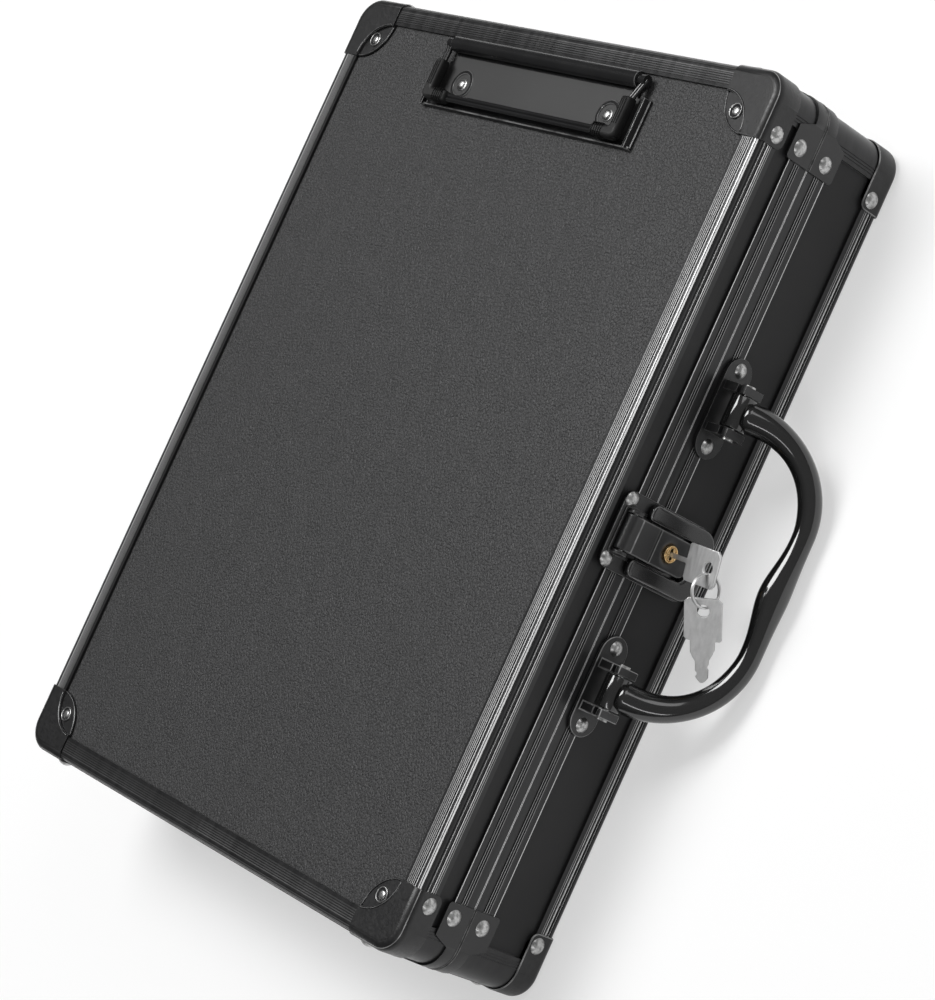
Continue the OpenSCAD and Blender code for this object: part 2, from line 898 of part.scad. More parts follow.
module back_panel() {
    flush = corner_r + seam;
    color("#242424") {
        linear_extrude(z_frame + rail_t)
            round_rect(case_w - 2 * flush, case_l - 2 * flush, 2);
        translate([0, 0, z_frame + rail_t])
            linear_extrude(panel_t)
                round_rect(case_w - 2 * board_out, case_l - 2 * board_out, corner_r - rail_t);
    }
}

module base_lining() {
    low = z_frame + rail_t + panel_t;
    color("#2a2a2a")
        lining(low, z_base_rim - rim_inner, low + lining_t);
}

module base_long_boards() {
    color("#262626")
        board_pair(false, z_frame + rail_t + panel_t, z_base_rim - rail_t);
}

module base_short_boards() {
    color("#262626")
        board_pair(true, z_frame + rail_t + panel_t, z_base_rim - rail_t);
}

module base_edge_sides() {
    color("#3a3a3c")
        translate([0, 0, z_frame])
            mirror([0, 0, 1])
                edge_pair(false);
}

module base_edge_ends() {
    color("#3a3a3c")
        translate([0, 0, z_frame])
            mirror([0, 0, 1])
                edge_pair(true);
}

module base_rim_sides() {
    color("#323234")
        translate([0, 0, z_base_rim])
            mirror([0, 0, 1])
                rim_pair(false);
}

module base_rim_ends() {
    color("#323234")
        translate([0, 0, z_base_rim])
            mirror([0, 0, 1])
                rim_pair(true);
}

module base_corner_posts() {
    color("#2c2c2e")
        translate([0, 0, z_base_rim])
            mirror([0, 0, 1])
                post_set(z_base_rim - z_frame - rail_r, z_base_rim - cap_skirt);
}

module base_braces() {
    color("#2b2b2b")
        translate([0, 0, z_base_rim])
            mirror([0, 0, 1])
                at_corners()
                    brace();
}

module base_rivets() {
    color("#8f9093") {
        side_rivets(cap_rivet_in, z_frame + back_cap_rivet);
        side_rivets(brace_rivet_in, z_part - base_brace_rivet);
    }
}

// Y-Z outline of the bezel's raised walls, open at the channel.
module bezel_walls(top) {
    low = z_part - bezel_l + bezel_step;
    half = latch_half - bezel_step;
    r = bezel_corner;
    difference() {
        translate([0, (top + low) / 2])
            round_rect(2 * half, top - low, r);
        translate([-channel_half, hasp_axis.z - hasp_l - channel_gap])
            square([2 * channel_half, top]);
    }
}

module latch_bezel() {
    wall_x = catch_x + slack;
    front = half_w + bezel_h;
    color("#262626")
        at_latch()
            difference() {
                union() {
                    along_x(rib_x, bezel_flange)
                        translate([0, z_base_rim])
                            mirror([0, 1])
                                plate_outline(bezel_l - part_gap, bezel_corner);
                    intersection() {
                        along_x(rib_x, front - rib_x)
                            bezel_walls(z_part + horn_h);
                        translate([rib_x, -latch_half, 0])
                            cube([bezel_h, 2 * latch_half, z_base_rim]);
                    }
                    along_x(wall_x, front - wall_x)
                        bezel_walls(z_part + horn_h);
                }
                translate([cam_x - seam, 0, lock_z])
                    rotate([0, 90, 0])
                        cylinder(r = cam_half + slack, h = cam_t + 2 * seam);
            }
}

// Riveted bracket with two ears; each ear is slotted down to its pin.
module handle_bracket(y) {
    color("#1f1f1f")
        translate([rib_x, y, pivot.z])
            difference() {
                union() {
                    rotate([90, 0, 90])
                        linear_extrude(bracket_t)
                            round_rect(bracket_l, bracket_w, bracket_w / 2 - eps);
                    for (s = [-1, 1])
                        translate([0, s * ear_y - ear_t / 2, -ear_w / 2])
                            cube([pivot_x + ear_tip - rib_h, ear_t, ear_w]);
                }
                translate([pivot_x - rib_h, 0, 0]) {
                    rotate([90, 0, 0])
                        cylinder(r = handle_pin_r, h = bracket_l, center = true);
                    translate([-ear_slot / 2, -bracket_l / 2, 0])
                        cube([ear_slot, bracket_l, ear_w]);
                }
            }
}

module handle_bracket_clip() {
    handle_bracket(bracket_y);
}

module handle_bracket_foot() {
    handle_bracket(-bracket_y);
}

// Headed pins through the ears and the barrels of the handle.
module handle_pins() {
    reach = ear_y + ear_t / 2;
    color("#c4c5c8")
        for (s = [-1, 1])
            translate([pivot.x, s * bracket_y, pivot.z])
                rotate([90, 0, 0]) {
                    cylinder(r = handle_pin_r, h = 2 * reach, center = true);
                    for (t = [-1, 1])
                        translate([0, 0, t * (reach + pin_head_t / 2)])
                            cylinder(r = handle_pin_r + pin_head, h = pin_head_t, center = true);
                }
}

module bracket_rivets() {
    color("#9a9b9e")
        for (s = [-1, 1], t = [-1, 1])
            translate([rib_x + bracket_t, s * bracket_y + t * bracket_rivet, pivot.z])
                rotate([0, 90, 0])
                    dome(bracket_rivet_d, rivet_h);
}

// Half of the handle's rod in its own plane: arm, bend and half the grip.
module handle_half() {
    arm_y = bracket_y;
    translate([0, arm_y, 0])
        rotate([90, 0, 0])
            cylinder(r = arm_r + barrel_extra, h = 2 * (ear_y - ear_t / 2 - slack), center = true);
    translate([0, arm_y, 0])
        rotate([0, 90, 0])
            cylinder(r = arm_r, h = grip_reach - bend_r);
    translate([grip_reach - bend_r, arm_y - bend_r, 0])
        rotate_extrude(angle = 90)
            translate([bend_r, 0])
                circle(arm_r);
    translate([grip_reach, -eps, 0])
        rotate([-90, 0, 0])
            cylinder(r = arm_r, h = arm_y - bend_r + eps);
}

// Swelling in the middle of the grip, turned about the rod.
module grip_swell() {
    rise = grip_r - arm_r;
    r = (grip_half * grip_half + rise * rise) / (2 * rise);
    translate([grip_reach, 0, 0])
        rotate([90, 0, 0])
            rotate_extrude()
                intersection() {
                    translate([grip_r - r, 0])
                        circle(r, $fn = 360);
                    translate([0, -grip_half])
                        square([grip_r + 1, 2 * grip_half]);
                }
}

module handle() {
    color("#0c0c0c")
        translate(pivot)
            rotate([0, droop, 0])
                difference() {
                    union() {
                        for (m = [0, 1])
                            mirror([0, m, 0])
                                handle_half();
                        grip_swell();
                    }
                    rotate([90, 0, 0])
                        cylinder(r = handle_pin_r + fit_gap, h = case_l, center = true);
                }
}

// Hasp: barrel, flat strip, ridge, then the dished block that holds the lock.
module hasp() {
    back = hasp_barrel_r - hasp_block_t;
    color("#2e2e2e")
        at_latch()
            translate(hasp_axis)
                difference() {
                    union() {
                        rotate([90, 0, 0])
                            cylinder(r = hasp_barrel_r, h = hasp_w, center = true);
                        translate([hasp_barrel_r - hasp_t, -hasp_w / 2, -hasp_ridge])
                            cube([hasp_t, hasp_w, hasp_ridge]);
                        translate([back, 0, -hasp_l])
                            rotate([90, 0, 90])
                                linear_extrude(hasp_block_t)
                                    hasp_block();
                    }
                    rotate([90, 0, 0])
                        cylinder(r = hasp_pin_r + fit_gap, h = hasp_w + 1, center = true);
                    translate([0, 0, -lock_drop])
                        rotate([0, 90, 0])
                            cylinder(d = lock_d, h = 4 * hasp_barrel_r, center = true);
                    translate([hasp_barrel_r + dish_r - dish_depth, 0, -lock_drop])
                        sphere(dish_r);
                }
}

// Outline of the hasp's block, its lower end at the origin.
module hasp_block() {
    h = hasp_l - hasp_ridge;
    translate([-hasp_w / 2, hasp_corner])
        square([hasp_w, h - hasp_corner]);
    translate([hasp_corner - hasp_w / 2, 0])
        square([hasp_w - 2 * hasp_corner, h]);
    for (s = [-1, 1])
        translate([s * (hasp_w / 2 - hasp_corner), hasp_corner])
            circle(hasp_corner);
}

module hasp_pin() {
    color("#7a7a7c")
        at_latch()
            translate(hasp_axis)
                rotate([90, 0, 0])
                    cylinder(r = hasp_pin_r, h = hasp_w + 2 * (slack + catch_ear), center = true);
}

module lock_cylinder() {
    back = lock_back + seam;
    front = hasp_front - lock_recess;
    color("#c9a24a")
        at_latch()
            translate([back, 0, lock_z])
                rotate([0, 90, 0])
                    difference() {
                        cylinder(d = lock_d, h = front - back);
                        cylinder(d = plug_d + 2 * fit_gap, h = 3 * (front - back), center = true);
                    }
}

module lock_plug() {
    color("#d0a64e")
        at_latch()
            difference() {
                translate([lock_back, 0, lock_z])
                    rotate([0, 90, 0])
                        cylinder(d = plug_d, h = plug_front - lock_back);
                translate([slot_back, 0, lock_z])
                    rotate([key_lean, 0, 0])
                        translate([0, -key_blade_w / 2, -key_t / 2])
                            cube([2 * (plug_front - slot_back), key_blade_w, key_t]);
            }
}

module lock_cam() {
    color("#9a9a9c")
        at_latch()
            translate([cam_x, -cam_w / 2, lock_z - cam_half])
                cube([cam_t, cam_w, 2 * cam_half]);
}

// Flat key outline: the head's end at x = 0, the blade towards -X.
module key_outline(shank) {
    half = key_blade_w / 2;
    edge = [
        [key_corner, key_neck_w / 2], [-key_shoulder, key_neck_w / 2],
        [-key_shoulder - key_taper, half], [key_tip - shank, half], [-shank, half - key_tip]
    ];
    translate([-key_head_l / 2, 0])
        round_rect(key_head_l, key_head_w, key_corner);
    translate([-key_head_l, 0])
        polygon(concat(edge, [for (i = [len(edge) - 1:-1:0]) [edge[i].x, -edge[i].y]]));
}

// A key drawn in its own plane with its hole at the origin.
module key_blank(shank) {
    difference() {
        translate([key_hole_in, 0, -key_t / 2])
            linear_extrude(key_t)
                key_outline(shank);
        cylinder(r = key_hole_r, h = 3 * key_t, center = true);
    }
}

module key_in_lock() {
    color("#9c9da0")
        translate(hole_at)
            rotate([key_lean, 0, 0])
                key_blank(head_x - slot_back - slack);
}

module key_ring() {
    color("#d5d6d8")
        translate(ring_top + ring_r * ring_dir)
            rotate(turns(twisted(ring_dir, ring_twist), -ring_dir))
                for (s = [-1, 1])
                    translate([0, 0, s * ring_wire * turn_pitch / 2])
                        rotate_extrude()
                            translate([ring_r, 0])
                                circle(d = ring_wire, $fn = 24);
}

module spare_key() {
    color("#b4b5b7")
        translate(spare_hole)
            rotate(turns(-spare_dir, cross(twisted(spare_dir, spare_twist), -spare_dir)))
                key_blank(key_shank_l);
}

// Raised border of the clip's plate, bevelled on the outside.
module clip_base() {
    w = 2 * clip_half;
    front = spine_y - clip_drop;
    rise = clip_border + clip_t;
    lip = clip_lip + clip_t;
    color("#191919")
        translate([clip_shift, 0, panel_z])
            difference() {
                union() {
                    translate([-clip_half, front, 0])
                        cube([w, clip_drop, clip_t]);
                    for (s = [0, 1])
                        mirror([s, 0, 0])
                            translate([clip_half, spine_y - clip_drop / 2 - spine_r / 2, 0])
                                along_y(clip_drop - spine_r)
                                    polygon([[0, 0], [-clip_t, rise], [-clip_border, rise], [-clip_border, 0]]);
                    translate([0, front, 0])
                        rotate([0, 0, -90])
                            along_y(w)
                                polygon([[0, 0], [0, clip_t], [-clip_lip / 2, lip], [-clip_lip, lip], [-clip_lip, 0]]);
                    for (s = [-1, 1])
                        translate([s * clip_rivet_x, spine_y - clip_rivet_drop, 0])
                            cylinder(d = emboss_d, h = clip_t + emboss_h);
                    translate([0, spine_y, spine_r])
                        rotate([0, 90, 0])
                            cylinder(r = spine_r, h = 2 * spine_half, center = true);
                }
                translate([0, spine_y, spine_r])
                    rotate([0, 90, 0])
                        cylinder(r = spine_bore, h = 2 * w, center = true);
                for (s = [-1, 1])
                    translate([s * clip_half, spine_y, spine_r])
                        cube([2 * spine_short, 4 * spine_r, 3 * spine_r], center = true);
                for (s = [-1, 1])
                    translate([s * clip_rivet_x, spine_y - clip_rivet_drop, clip_t])
                        cylinder(d = emboss_d - 2 * emboss_w, h = 2 * emboss_h);
            }
}

module clip_rivets() {
    color("#b9babd")
        for (s = [-1, 1])
            translate([clip_shift + s * clip_rivet_x, spine_y - clip_rivet_drop, clip_top])
                dome(clip_rivet_d, clip_rivet_h);
}

// Torsion rod in the spine, crimped to it at the middle.
module clip_torsion_rod() {
    color("#8a8a8c")
        translate([clip_shift, spine_y, spine_z])
            rotate([0, 90, 0]) {
                cylinder(r = rod_r, h = 2 * (spine_half - spine_stub) - 4 * rod_r, center = true);
                cylinder(r = spine_bore, h = 4 * rod_r, center = true);
            }
}

// A round wire from a to b.
module wire(a, b) {
    v = b - a;
    translate(a)
        rotate([0, acos(v.z / norm(v)), atan2(v.y, v.x)])
            cylinder(d = wire_d, h = norm(v));
}

// The jaw's doubled wire: a bar, two bent arms and the welds in the grips.
module jaw_wires() {
    apart = wire_d * turn_pitch / 2;
    elbow_y = spine_y - jaw_bend;
    weld = wire_d + 2 * apart + slack;
    bite = weld / 2 - slack;
    for (s = [-1, 1])
        wire([bite - jaw_half, jaw_y + s * apart, jaw_z], [jaw_half - bite, jaw_y + s * apart, jaw_z]);
    for (m = [-1, 1], s = [-1, 1]) {
        x = m * jaw_half + s * apart;
        wire([x, jaw_y + bite, jaw_z], [x, elbow_y - bite, jaw_z]);
        wire([x, elbow_y, jaw_z], [x + m * jaw_splay, spine_y, spine_z]);
    }
    for (m = [-1, 1], y = [jaw_y, elbow_y])
        translate([m * jaw_half, y, jaw_z])
            cube([weld, weld, wire_d + slack], center = true);
}

module clip_jaw() {
    stub = spine_stub + clip_half - spine_half - spine_short / 2;
    color("#1c1c1e")
        translate([clip_shift, 0, 0]) {
            jaw_wires();
            for (m = [0, 1])
                mirror([m, 0, 0])
                    translate([spine_half - spine_stub, spine_y, spine_z])
                        rotate([0, 90, 0])
                            cylinder(r = spine_bore - fit_gap, h = stub);
        }
}

// Ribbed rubber sleeves over the jaw's corners.
module clip_grips() {
    low = clip_top + emboss_h + fit_gap;
    outer = jaw_half + grip_w / 2;
    front = jaw_y - grip_w / 2;
    color("#262626")
        translate([clip_shift, 0, 0])
            difference() {
                for (m = [0, 1])
                    mirror([m, 0, 0]) {
                        translate([outer - grip_w, front, low])
                            cube([grip_w, grip_arm, grip_h]);
                        translate([outer - grip_bar, front, low])
                            cube([grip_bar, grip_w, grip_h]);
                        for (y = [front + grip_w:2 * grip_rib:front + grip_arm - grip_rib])
                            translate([outer - grip_w + grip_rib, y, low])
                                cube([grip_w - 2 * grip_rib, grip_rib, grip_h + grip_rib / 2]);
                    }
                jaw_wires();
            }
}

lid_panel();
lid_lining();
lid_long_boards();
lid_short_boards();
lid_edge_sides();
lid_edge_ends();
lid_rim_sides();
lid_rim_ends();
lid_corner_posts();
color("#2b2b2b") lid_cap(0, 0);  // lid_cap_latch_clip
color("#2b2b2b") lid_cap(0, 1);  // lid_cap_latch_foot
color("#2b2b2b") lid_cap(1, 0);  // lid_cap_hinge_clip
color("#2b2b2b") lid_cap(1, 1);  // lid_cap_hinge_foot
lid_braces();
lid_rivets();
cap_eyelets();
hinge_leaf_lid();
catch_plate();
catch_rivets();
back_panel();
base_lining();
base_long_boards();
base_short_boards();
base_edge_sides();
base_edge_ends();
base_rim_sides();
base_rim_ends();
base_corner_posts();
color("#2b2b2b") back_cap(0, 0);  // back_cap_latch_clip
color("#2b2b2b") back_cap(0, 1);  // back_cap_latch_foot
color("#2b2b2b") back_cap(1, 0);  // back_cap_hinge_clip
color("#2b2b2b") back_cap(1, 1);  // back_cap_hinge_foot
base_braces();
base_rivets();
hinge_leaf_base();
hinge_pin();
latch_bezel();
handle_bracket_clip();
handle_bracket_foot();
handle_pins();
bracket_rivets();
handle();
hasp();
hasp_pin();
lock_cylinder();
lock_plug();
lock_cam();
key_in_lock();
key_ring();
spare_key();
clip_base();
clip_rivets();
clip_torsion_rod();
clip_jaw();
clip_grips();
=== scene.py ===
import json
import math
import bmesh
import bpy
from mathutils import Matrix, Vector

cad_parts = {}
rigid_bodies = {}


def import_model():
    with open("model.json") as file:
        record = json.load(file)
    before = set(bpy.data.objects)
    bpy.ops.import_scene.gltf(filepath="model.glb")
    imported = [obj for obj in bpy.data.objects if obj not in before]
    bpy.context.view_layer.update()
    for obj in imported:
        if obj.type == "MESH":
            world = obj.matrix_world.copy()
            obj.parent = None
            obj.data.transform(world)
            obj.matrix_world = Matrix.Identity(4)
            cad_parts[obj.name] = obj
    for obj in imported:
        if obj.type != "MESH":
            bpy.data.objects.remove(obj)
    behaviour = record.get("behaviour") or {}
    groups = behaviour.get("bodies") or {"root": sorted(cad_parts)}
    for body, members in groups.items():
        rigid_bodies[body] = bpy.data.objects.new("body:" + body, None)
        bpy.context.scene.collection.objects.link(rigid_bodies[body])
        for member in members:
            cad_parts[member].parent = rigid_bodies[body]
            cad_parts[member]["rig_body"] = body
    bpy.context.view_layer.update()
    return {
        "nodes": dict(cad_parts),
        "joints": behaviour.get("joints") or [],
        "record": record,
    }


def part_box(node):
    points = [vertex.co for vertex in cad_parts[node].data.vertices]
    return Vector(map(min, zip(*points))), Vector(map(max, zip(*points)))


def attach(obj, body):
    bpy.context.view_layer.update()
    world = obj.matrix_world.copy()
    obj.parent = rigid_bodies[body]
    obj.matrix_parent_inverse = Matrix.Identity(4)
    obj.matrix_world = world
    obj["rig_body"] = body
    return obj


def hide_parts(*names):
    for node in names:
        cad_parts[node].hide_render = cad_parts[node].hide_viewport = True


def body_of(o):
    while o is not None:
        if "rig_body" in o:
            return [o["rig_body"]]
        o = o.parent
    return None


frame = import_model()
nodes = frame["nodes"]
scene = bpy.context.scene
SLOTS = {part["node"]: part["material_slot"] for part in frame["record"]["subparts"]}

# ---------------------------------------------------------------- sizes and places, in millimetres

MM = 0.001  # a millimetre in Blender's metres
TO_METRES = Matrix.Scale(MM, 4)
X_AXIS, Y_AXIS, Z_AXIS = Matrix.Identity(3)
PIVOTS = {joint["name"]: Vector(joint["pos_m"]) / MM for joint in frame["joints"]}


def corners(node):
    """A node's lowest and highest corners."""
    return [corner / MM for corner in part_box(node)]


CAP_OUT = 0.8  # the corner caps stand this far out from the case
CORNER_R = 10.0  # the case's own corner radius
CAP_R = CORNER_R + CAP_OUT
CAP_LOW, CAP_HIGH = corners("lid_cap_latch_clip")
HALF_W, HALF_L, Z_FACE = (side - CAP_OUT for side in CAP_HIGH)
Z_BACK = corners("back_cap_latch_clip")[0].z + CAP_OUT
Z_PART = PIVOTS["lid_hinge"].z  # where lid and base meet
QUARTERS = [(sx, sy) for sx in (-1, 1) for sy in (-1, 1)]

WALL_X = corners("latch_bezel")[0].x  # the plane that latch and brackets sit on
LATCH_Y = PIVOTS["latch_hinge"].y
HASP_X, HASP_Z = PIVOTS["latch_hinge"].x, PIVOTS["latch_hinge"].z
BARREL_R = 2.8  # the hasp's rolled knuckle
LOCK_Z = PIVOTS["lock_turn"].z
CLIP_X, CLIP_Y = PIVOTS["clip_hinge"].x, PIVOTS["clip_hinge"].y

# ---------------------------------------------------------------- node tools


def grey(value):
    return (value, value, value, 1)


def cool(value, blue=0.0005):
    """A near-black with a trace of blue."""
    return (value, value, value + blue, 1)


class Nodes:
    """Short calls for the nodes and links of a node tree."""

    def __init__(self, tree):
        self.tree = tree

    def node(self, kind, inputs=None, **props):
        made = self.tree.nodes.new("ShaderNode" + kind)
        for key, value in props.items():
            setattr(made, key, value)
        for key, value in (inputs or {}).items():
            self.put(made.inputs[key], value)
        return made

    def put(self, socket, value):
        if isinstance(value, bpy.types.NodeSocket):
            self.tree.links.new(value, socket)
        else:
            socket.default_value = value

    def math(self, op, a, b=0.0):
        return self.node("Math", {0: a, 1: b}, operation=op).outputs[0]

    def span(self, fac, lo, hi, a=0.0, b=1.0):
        """Maps a to lo and b to hi."""
        return self.node("MapRange", {0: fac, 1: a, 2: b, 3: lo, 4: hi}).outputs[0]


class Mat(Nodes):
    """A material round one Principled BSDF. Noise scales count per metre, bump distances are metres."""

    def __init__(self, name, **sockets):
        self.name = name
        self.made = bpy.data.materials.new(name)
        self.made.use_nodes = True
        super().__init__(self.made.node_tree)
        self.tree.nodes.clear()
        self.out = self.node("OutputMaterial")
        self.shader = self.node("BsdfPrincipled")
        self.put(self.out.inputs[0], self.shader.outputs[0])
        self.co = self.node("TexCoord").outputs["Object"]
        self.set(**sockets)

    def set(self, **sockets):
        for key, value in sockets.items():
            self.put(self.shader.inputs[key.replace("_", " ")], value)

    def scaled(self, scale):
        return self.node("Mapping", {0: self.co, 3: scale}).outputs[0]

    def place_mm(self):
        """The object's x, y and z in millimetres."""
        return self.node("SeparateXYZ", {0: self.scaled((1 / MM,) * 3)}).outputs

    def noise(self, scale, detail=3.0, rough=0.5, at=None):
        inputs = {"Vector": at or self.co, "Scale": scale, "Detail": detail, "Roughness": rough}
        return self.node("TexNoise", inputs).outputs["Fac"]

    def ramp(self, fac, *stops):
        """A colour ramp through (position, colour) stops. A float is a grey."""
        made = self.node("ValToRGB", {0: fac})
        elements = made.color_ramp.elements
        while len(elements) < len(stops):
            elements.new(0.5)
        for element, (position, colour) in zip(elements, stops):
            element.position = position
            element.color = grey(colour) if isinstance(colour, float) else colour
        return made.outputs[0]

    def stripes(self, coord, span, lines):
        """Bright lines on black, each (middle, width, value), across a coordinate from 0 to span."""
        stops = [(0.0, 0.0)]
        for middle, width, value in lines:
            stops += [((middle - width / 2) / span, value), ((middle + width / 2) / span, 0.0)]
        out = self.ramp(self.math("DIVIDE", coord, span), *stops)
        out.node.color_ramp.interpolation = "CONSTANT"
        return out

    def mix(self, fac, a, b):
        return self.node("Mix", {0: fac, 6: a, 7: b}, data_type="RGBA").outputs[2]

    def bump(self, height, distance, strength):
        made = self.node("Bump", {"Height": height, "Distance": distance, "Strength": strength})
        self.set(Normal=made.outputs[0])

    def edge_wear_and_highlight(self, colour, value):
        """A lighter, patchy grey where a piece's marked edges are: rubbed wear together with a painted
        highlight along them.
        """
        wear_and_highlight = self.node("Attribute", attribute_name="wear_and_highlight").outputs["Fac"]
        patch = self.span(self.noise(160.0, 4.0), 0.3, 1.0, 0.35, 0.6)
        worn_highlit = self.math("MULTIPLY", self.math("POWER", wear_and_highlight, 1.5), patch)
        return self.mix(worn_highlit, colour, grey(value))

    def inward(self, value, half):
        """How far a value lies inside -half to half."""
        return self.math("SUBTRACT", half, self.math("ABSOLUTE", value))


# ---------------------------------------------------------------- materials


def panel_cover():
    """Black vinyl with a pebbled grain and a fine pale speckle."""
    m = Mat("panel_cover", Specular_IOR_Level=0.35)
    jitter = m.node("TexNoise", {"Vector": m.co, "Scale": 260.0, "Detail": 2.0}).outputs["Color"]
    shift = m.node("Mix", {0: 0.0012, 4: (0, 0, 0), 5: jitter}, data_type="VECTOR").outputs[1]
    warped = m.node("VectorMath", {0: m.co, 1: shift}, operation="ADD").outputs[0]
    cells = m.node("TexVoronoi", {"Vector": warped, "Scale": 620.0}, feature="DISTANCE_TO_EDGE")
    pebble = m.ramp(cells.outputs["Distance"], (0.0, 0.0), (0.12, 0.75), (0.4, 1.0))
    fine = m.noise(1500.0, 4.0, 0.6)
    creases = m.noise(180.0, 6.0, 0.62, at=m.scaled((1.0, 0.45, 1.0)))
    height = m.math("ADD", m.math("MULTIPLY", pebble, 0.55), m.math("MULTIPLY", fine, 0.5))
    m.bump(m.math("ADD", height, m.math("MULTIPLY", creases, 0.9)), 0.00022, 0.9)
    speck = m.noise(1500.0, 2.0)
    grain = m.math("ADD", m.math("MULTIPLY", creases, 0.1), m.math("MULTIPLY", speck, 0.9))
    speckled = m.ramp(grain, (0.40, cool(0.012)), (0.60, cool(0.056, 0.001)))
    m.set(Base_Color=m.mix(m.span(m.noise(9.0), 0.0, 0.25), speckled, grey(0.032)))
    m.set(Roughness=m.span(m.noise(240.0, 4.0), 0.42, 0.6))
    return m


def board_cover():
    """The smooth dark facing of the side boards and the back."""
    m = Mat("board_cover", Specular_IOR_Level=0.25)
    m.bump(m.noise(900.0, 4.0, 0.6), 0.00004, 0.5)
    m.set(Base_Color=m.ramp(m.noise(14.0, 4.0), (0.3, cool(0.0125)), (0.75, cool(0.0175))))
    m.set(Roughness=m.span(m.noise(60.0, 4.0), 0.42, 0.56))
    return m


def lining():
    """Matt black felt."""
    m = Mat("lining", Roughness=0.95, Specular_IOR_Level=0.2)
    m.bump(m.noise(1400.0, 5.0, 0.7), 0.0002, 0.8)
    fibres = m.noise(700.0, 4.0, 0.7)
    m.set(Base_Color=m.ramp(fibres, (0.3, cool(0.010, 0.001)), (0.7, cool(0.032, 0.001))))
    return m


def rail_highlight_lines(m):
    """Painted highlights on the rails: bright lines at set distances from the case's edges, along the
    ribs' crests, the rounded edge and the parting rims.
    """
    x, y, z = m.place_mm()
    out_x, out_y = m.inward(x, HALF_W), m.inward(y, HALF_L)
    inwards = m.math("MINIMUM", out_x, out_y)
    from_face = m.math("MINIMUM", m.math("SUBTRACT", Z_FACE, z), m.math("SUBTRACT", z, Z_BACK))
    from_part = m.math("ABSOLUTE", m.math("SUBTRACT", z, Z_PART))
    ribs = [(4.175 + 0.9 * k, 0.46, value) for k, value in enumerate((0.62, 0.58, 0.52, 0.44, 0.36))]
    on_face = m.stripes(inwards, 10.5, [(0.85, 0.6, 1.0), (1.65, 0.4, 0.7), (3.3, 0.4, 0.85)] + ribs)
    on_side = m.stripes(from_face, 10.5, [
        (3.55, 0.45, 1.0), (5.2, 0.4, 0.95), (6.4, 0.3, 0.7), (7.3, 0.3, 0.3),
    ])
    on_rim = m.stripes(from_part, 11.5, [
        (0.2, 0.3, 0.7), (4.725, 0.3, 0.25), (5.825, 0.3, 0.3), (6.925, 0.3, 0.25), (10.2, 0.4, 0.8),
    ])
    normal = m.node("TexCoord").outputs["Normal"]
    upright = m.math("ABSOLUTE", m.node("SeparateXYZ", {0: normal}).outputs[2])
    on_rim = m.mix(m.math("GREATER_THAN", upright, 0.7), on_rim, grey(0.0))
    lines = m.mix(m.math("LESS_THAN", from_part, 11.2), on_side, on_rim)
    lines = m.mix(m.math("LESS_THAN", from_face, inwards), lines, on_face)
    # painted highlight: the lines are weaker on the short ends and on the hinge side, as if the lamps lit
    # them less
    ends_less_lit = m.span(m.math("LESS_THAN", out_y, out_x), 1.0, 0.15)
    hinge_side_less_lit = m.span(m.math("LESS_THAN", x, 0.0), 1.0, 0.6)
    return m.math("MULTIPLY", lines, m.math("MULTIPLY", ends_less_lit, hinge_side_less_lit))


def black_anodised(name, highlight_lines):
    """Drawn aluminium, streaked along its length; the rails' version adds painted highlights, bright lines
    along the rib crests and rounded edges.
    """
    m = Mat(name, Metallic=0.55)
    streak = m.noise(420.0, 4.0, 0.55, at=m.scaled((1.0, 0.02, 1.0)))
    streaked = m.ramp(streak, (0.3, cool(0.020, 0.001)), (0.7, cool(0.036, 0.001)))
    base = m.mix(m.span(m.noise(40.0), 0.0, 0.5), streaked, grey(0.026))
    if highlight_lines:
        patchy = m.span(m.noise(120.0, 4.0, 0.6, at=m.scaled((1.0, 0.12, 1.0))), 0.7, 1.0, 0.3, 0.6)
        # painted highlight: patchy bright lines lighten the colour and lower the metalness
        wear_and_highlight = m.math("MULTIPLY", rail_highlight_lines(m), patchy)
        base = m.mix(wear_and_highlight, base, grey(0.85))
        m.set(Metallic=m.span(wear_and_highlight, 0.55, 0.1))
    m.set(Base_Color=base, Roughness=m.span(streak, 0.28, 0.4, 0.3, 0.7))
    m.bump(m.noise(900.0), 0.00002, 0.5)
    return m


def black_coated_steel():
    """Coated steel with a faint orange peel, and edges lightened for wear and a painted highlight."""
    m = Mat("black_coated_steel")
    peel = m.noise(1300.0, 3.0, 0.55)
    m.bump(m.math("ADD", peel, m.math("MULTIPLY", m.noise(240.0, 2.0), 0.5)), 0.00004, 0.6)
    base = m.ramp(m.noise(60.0, 4.0), (0.3, cool(0.007)), (0.75, cool(0.014)))
    m.set(Base_Color=m.edge_wear_and_highlight(base, 0.27), Roughness=m.span(peel, 0.34, 0.46, 0.3, 0.7))
    return m


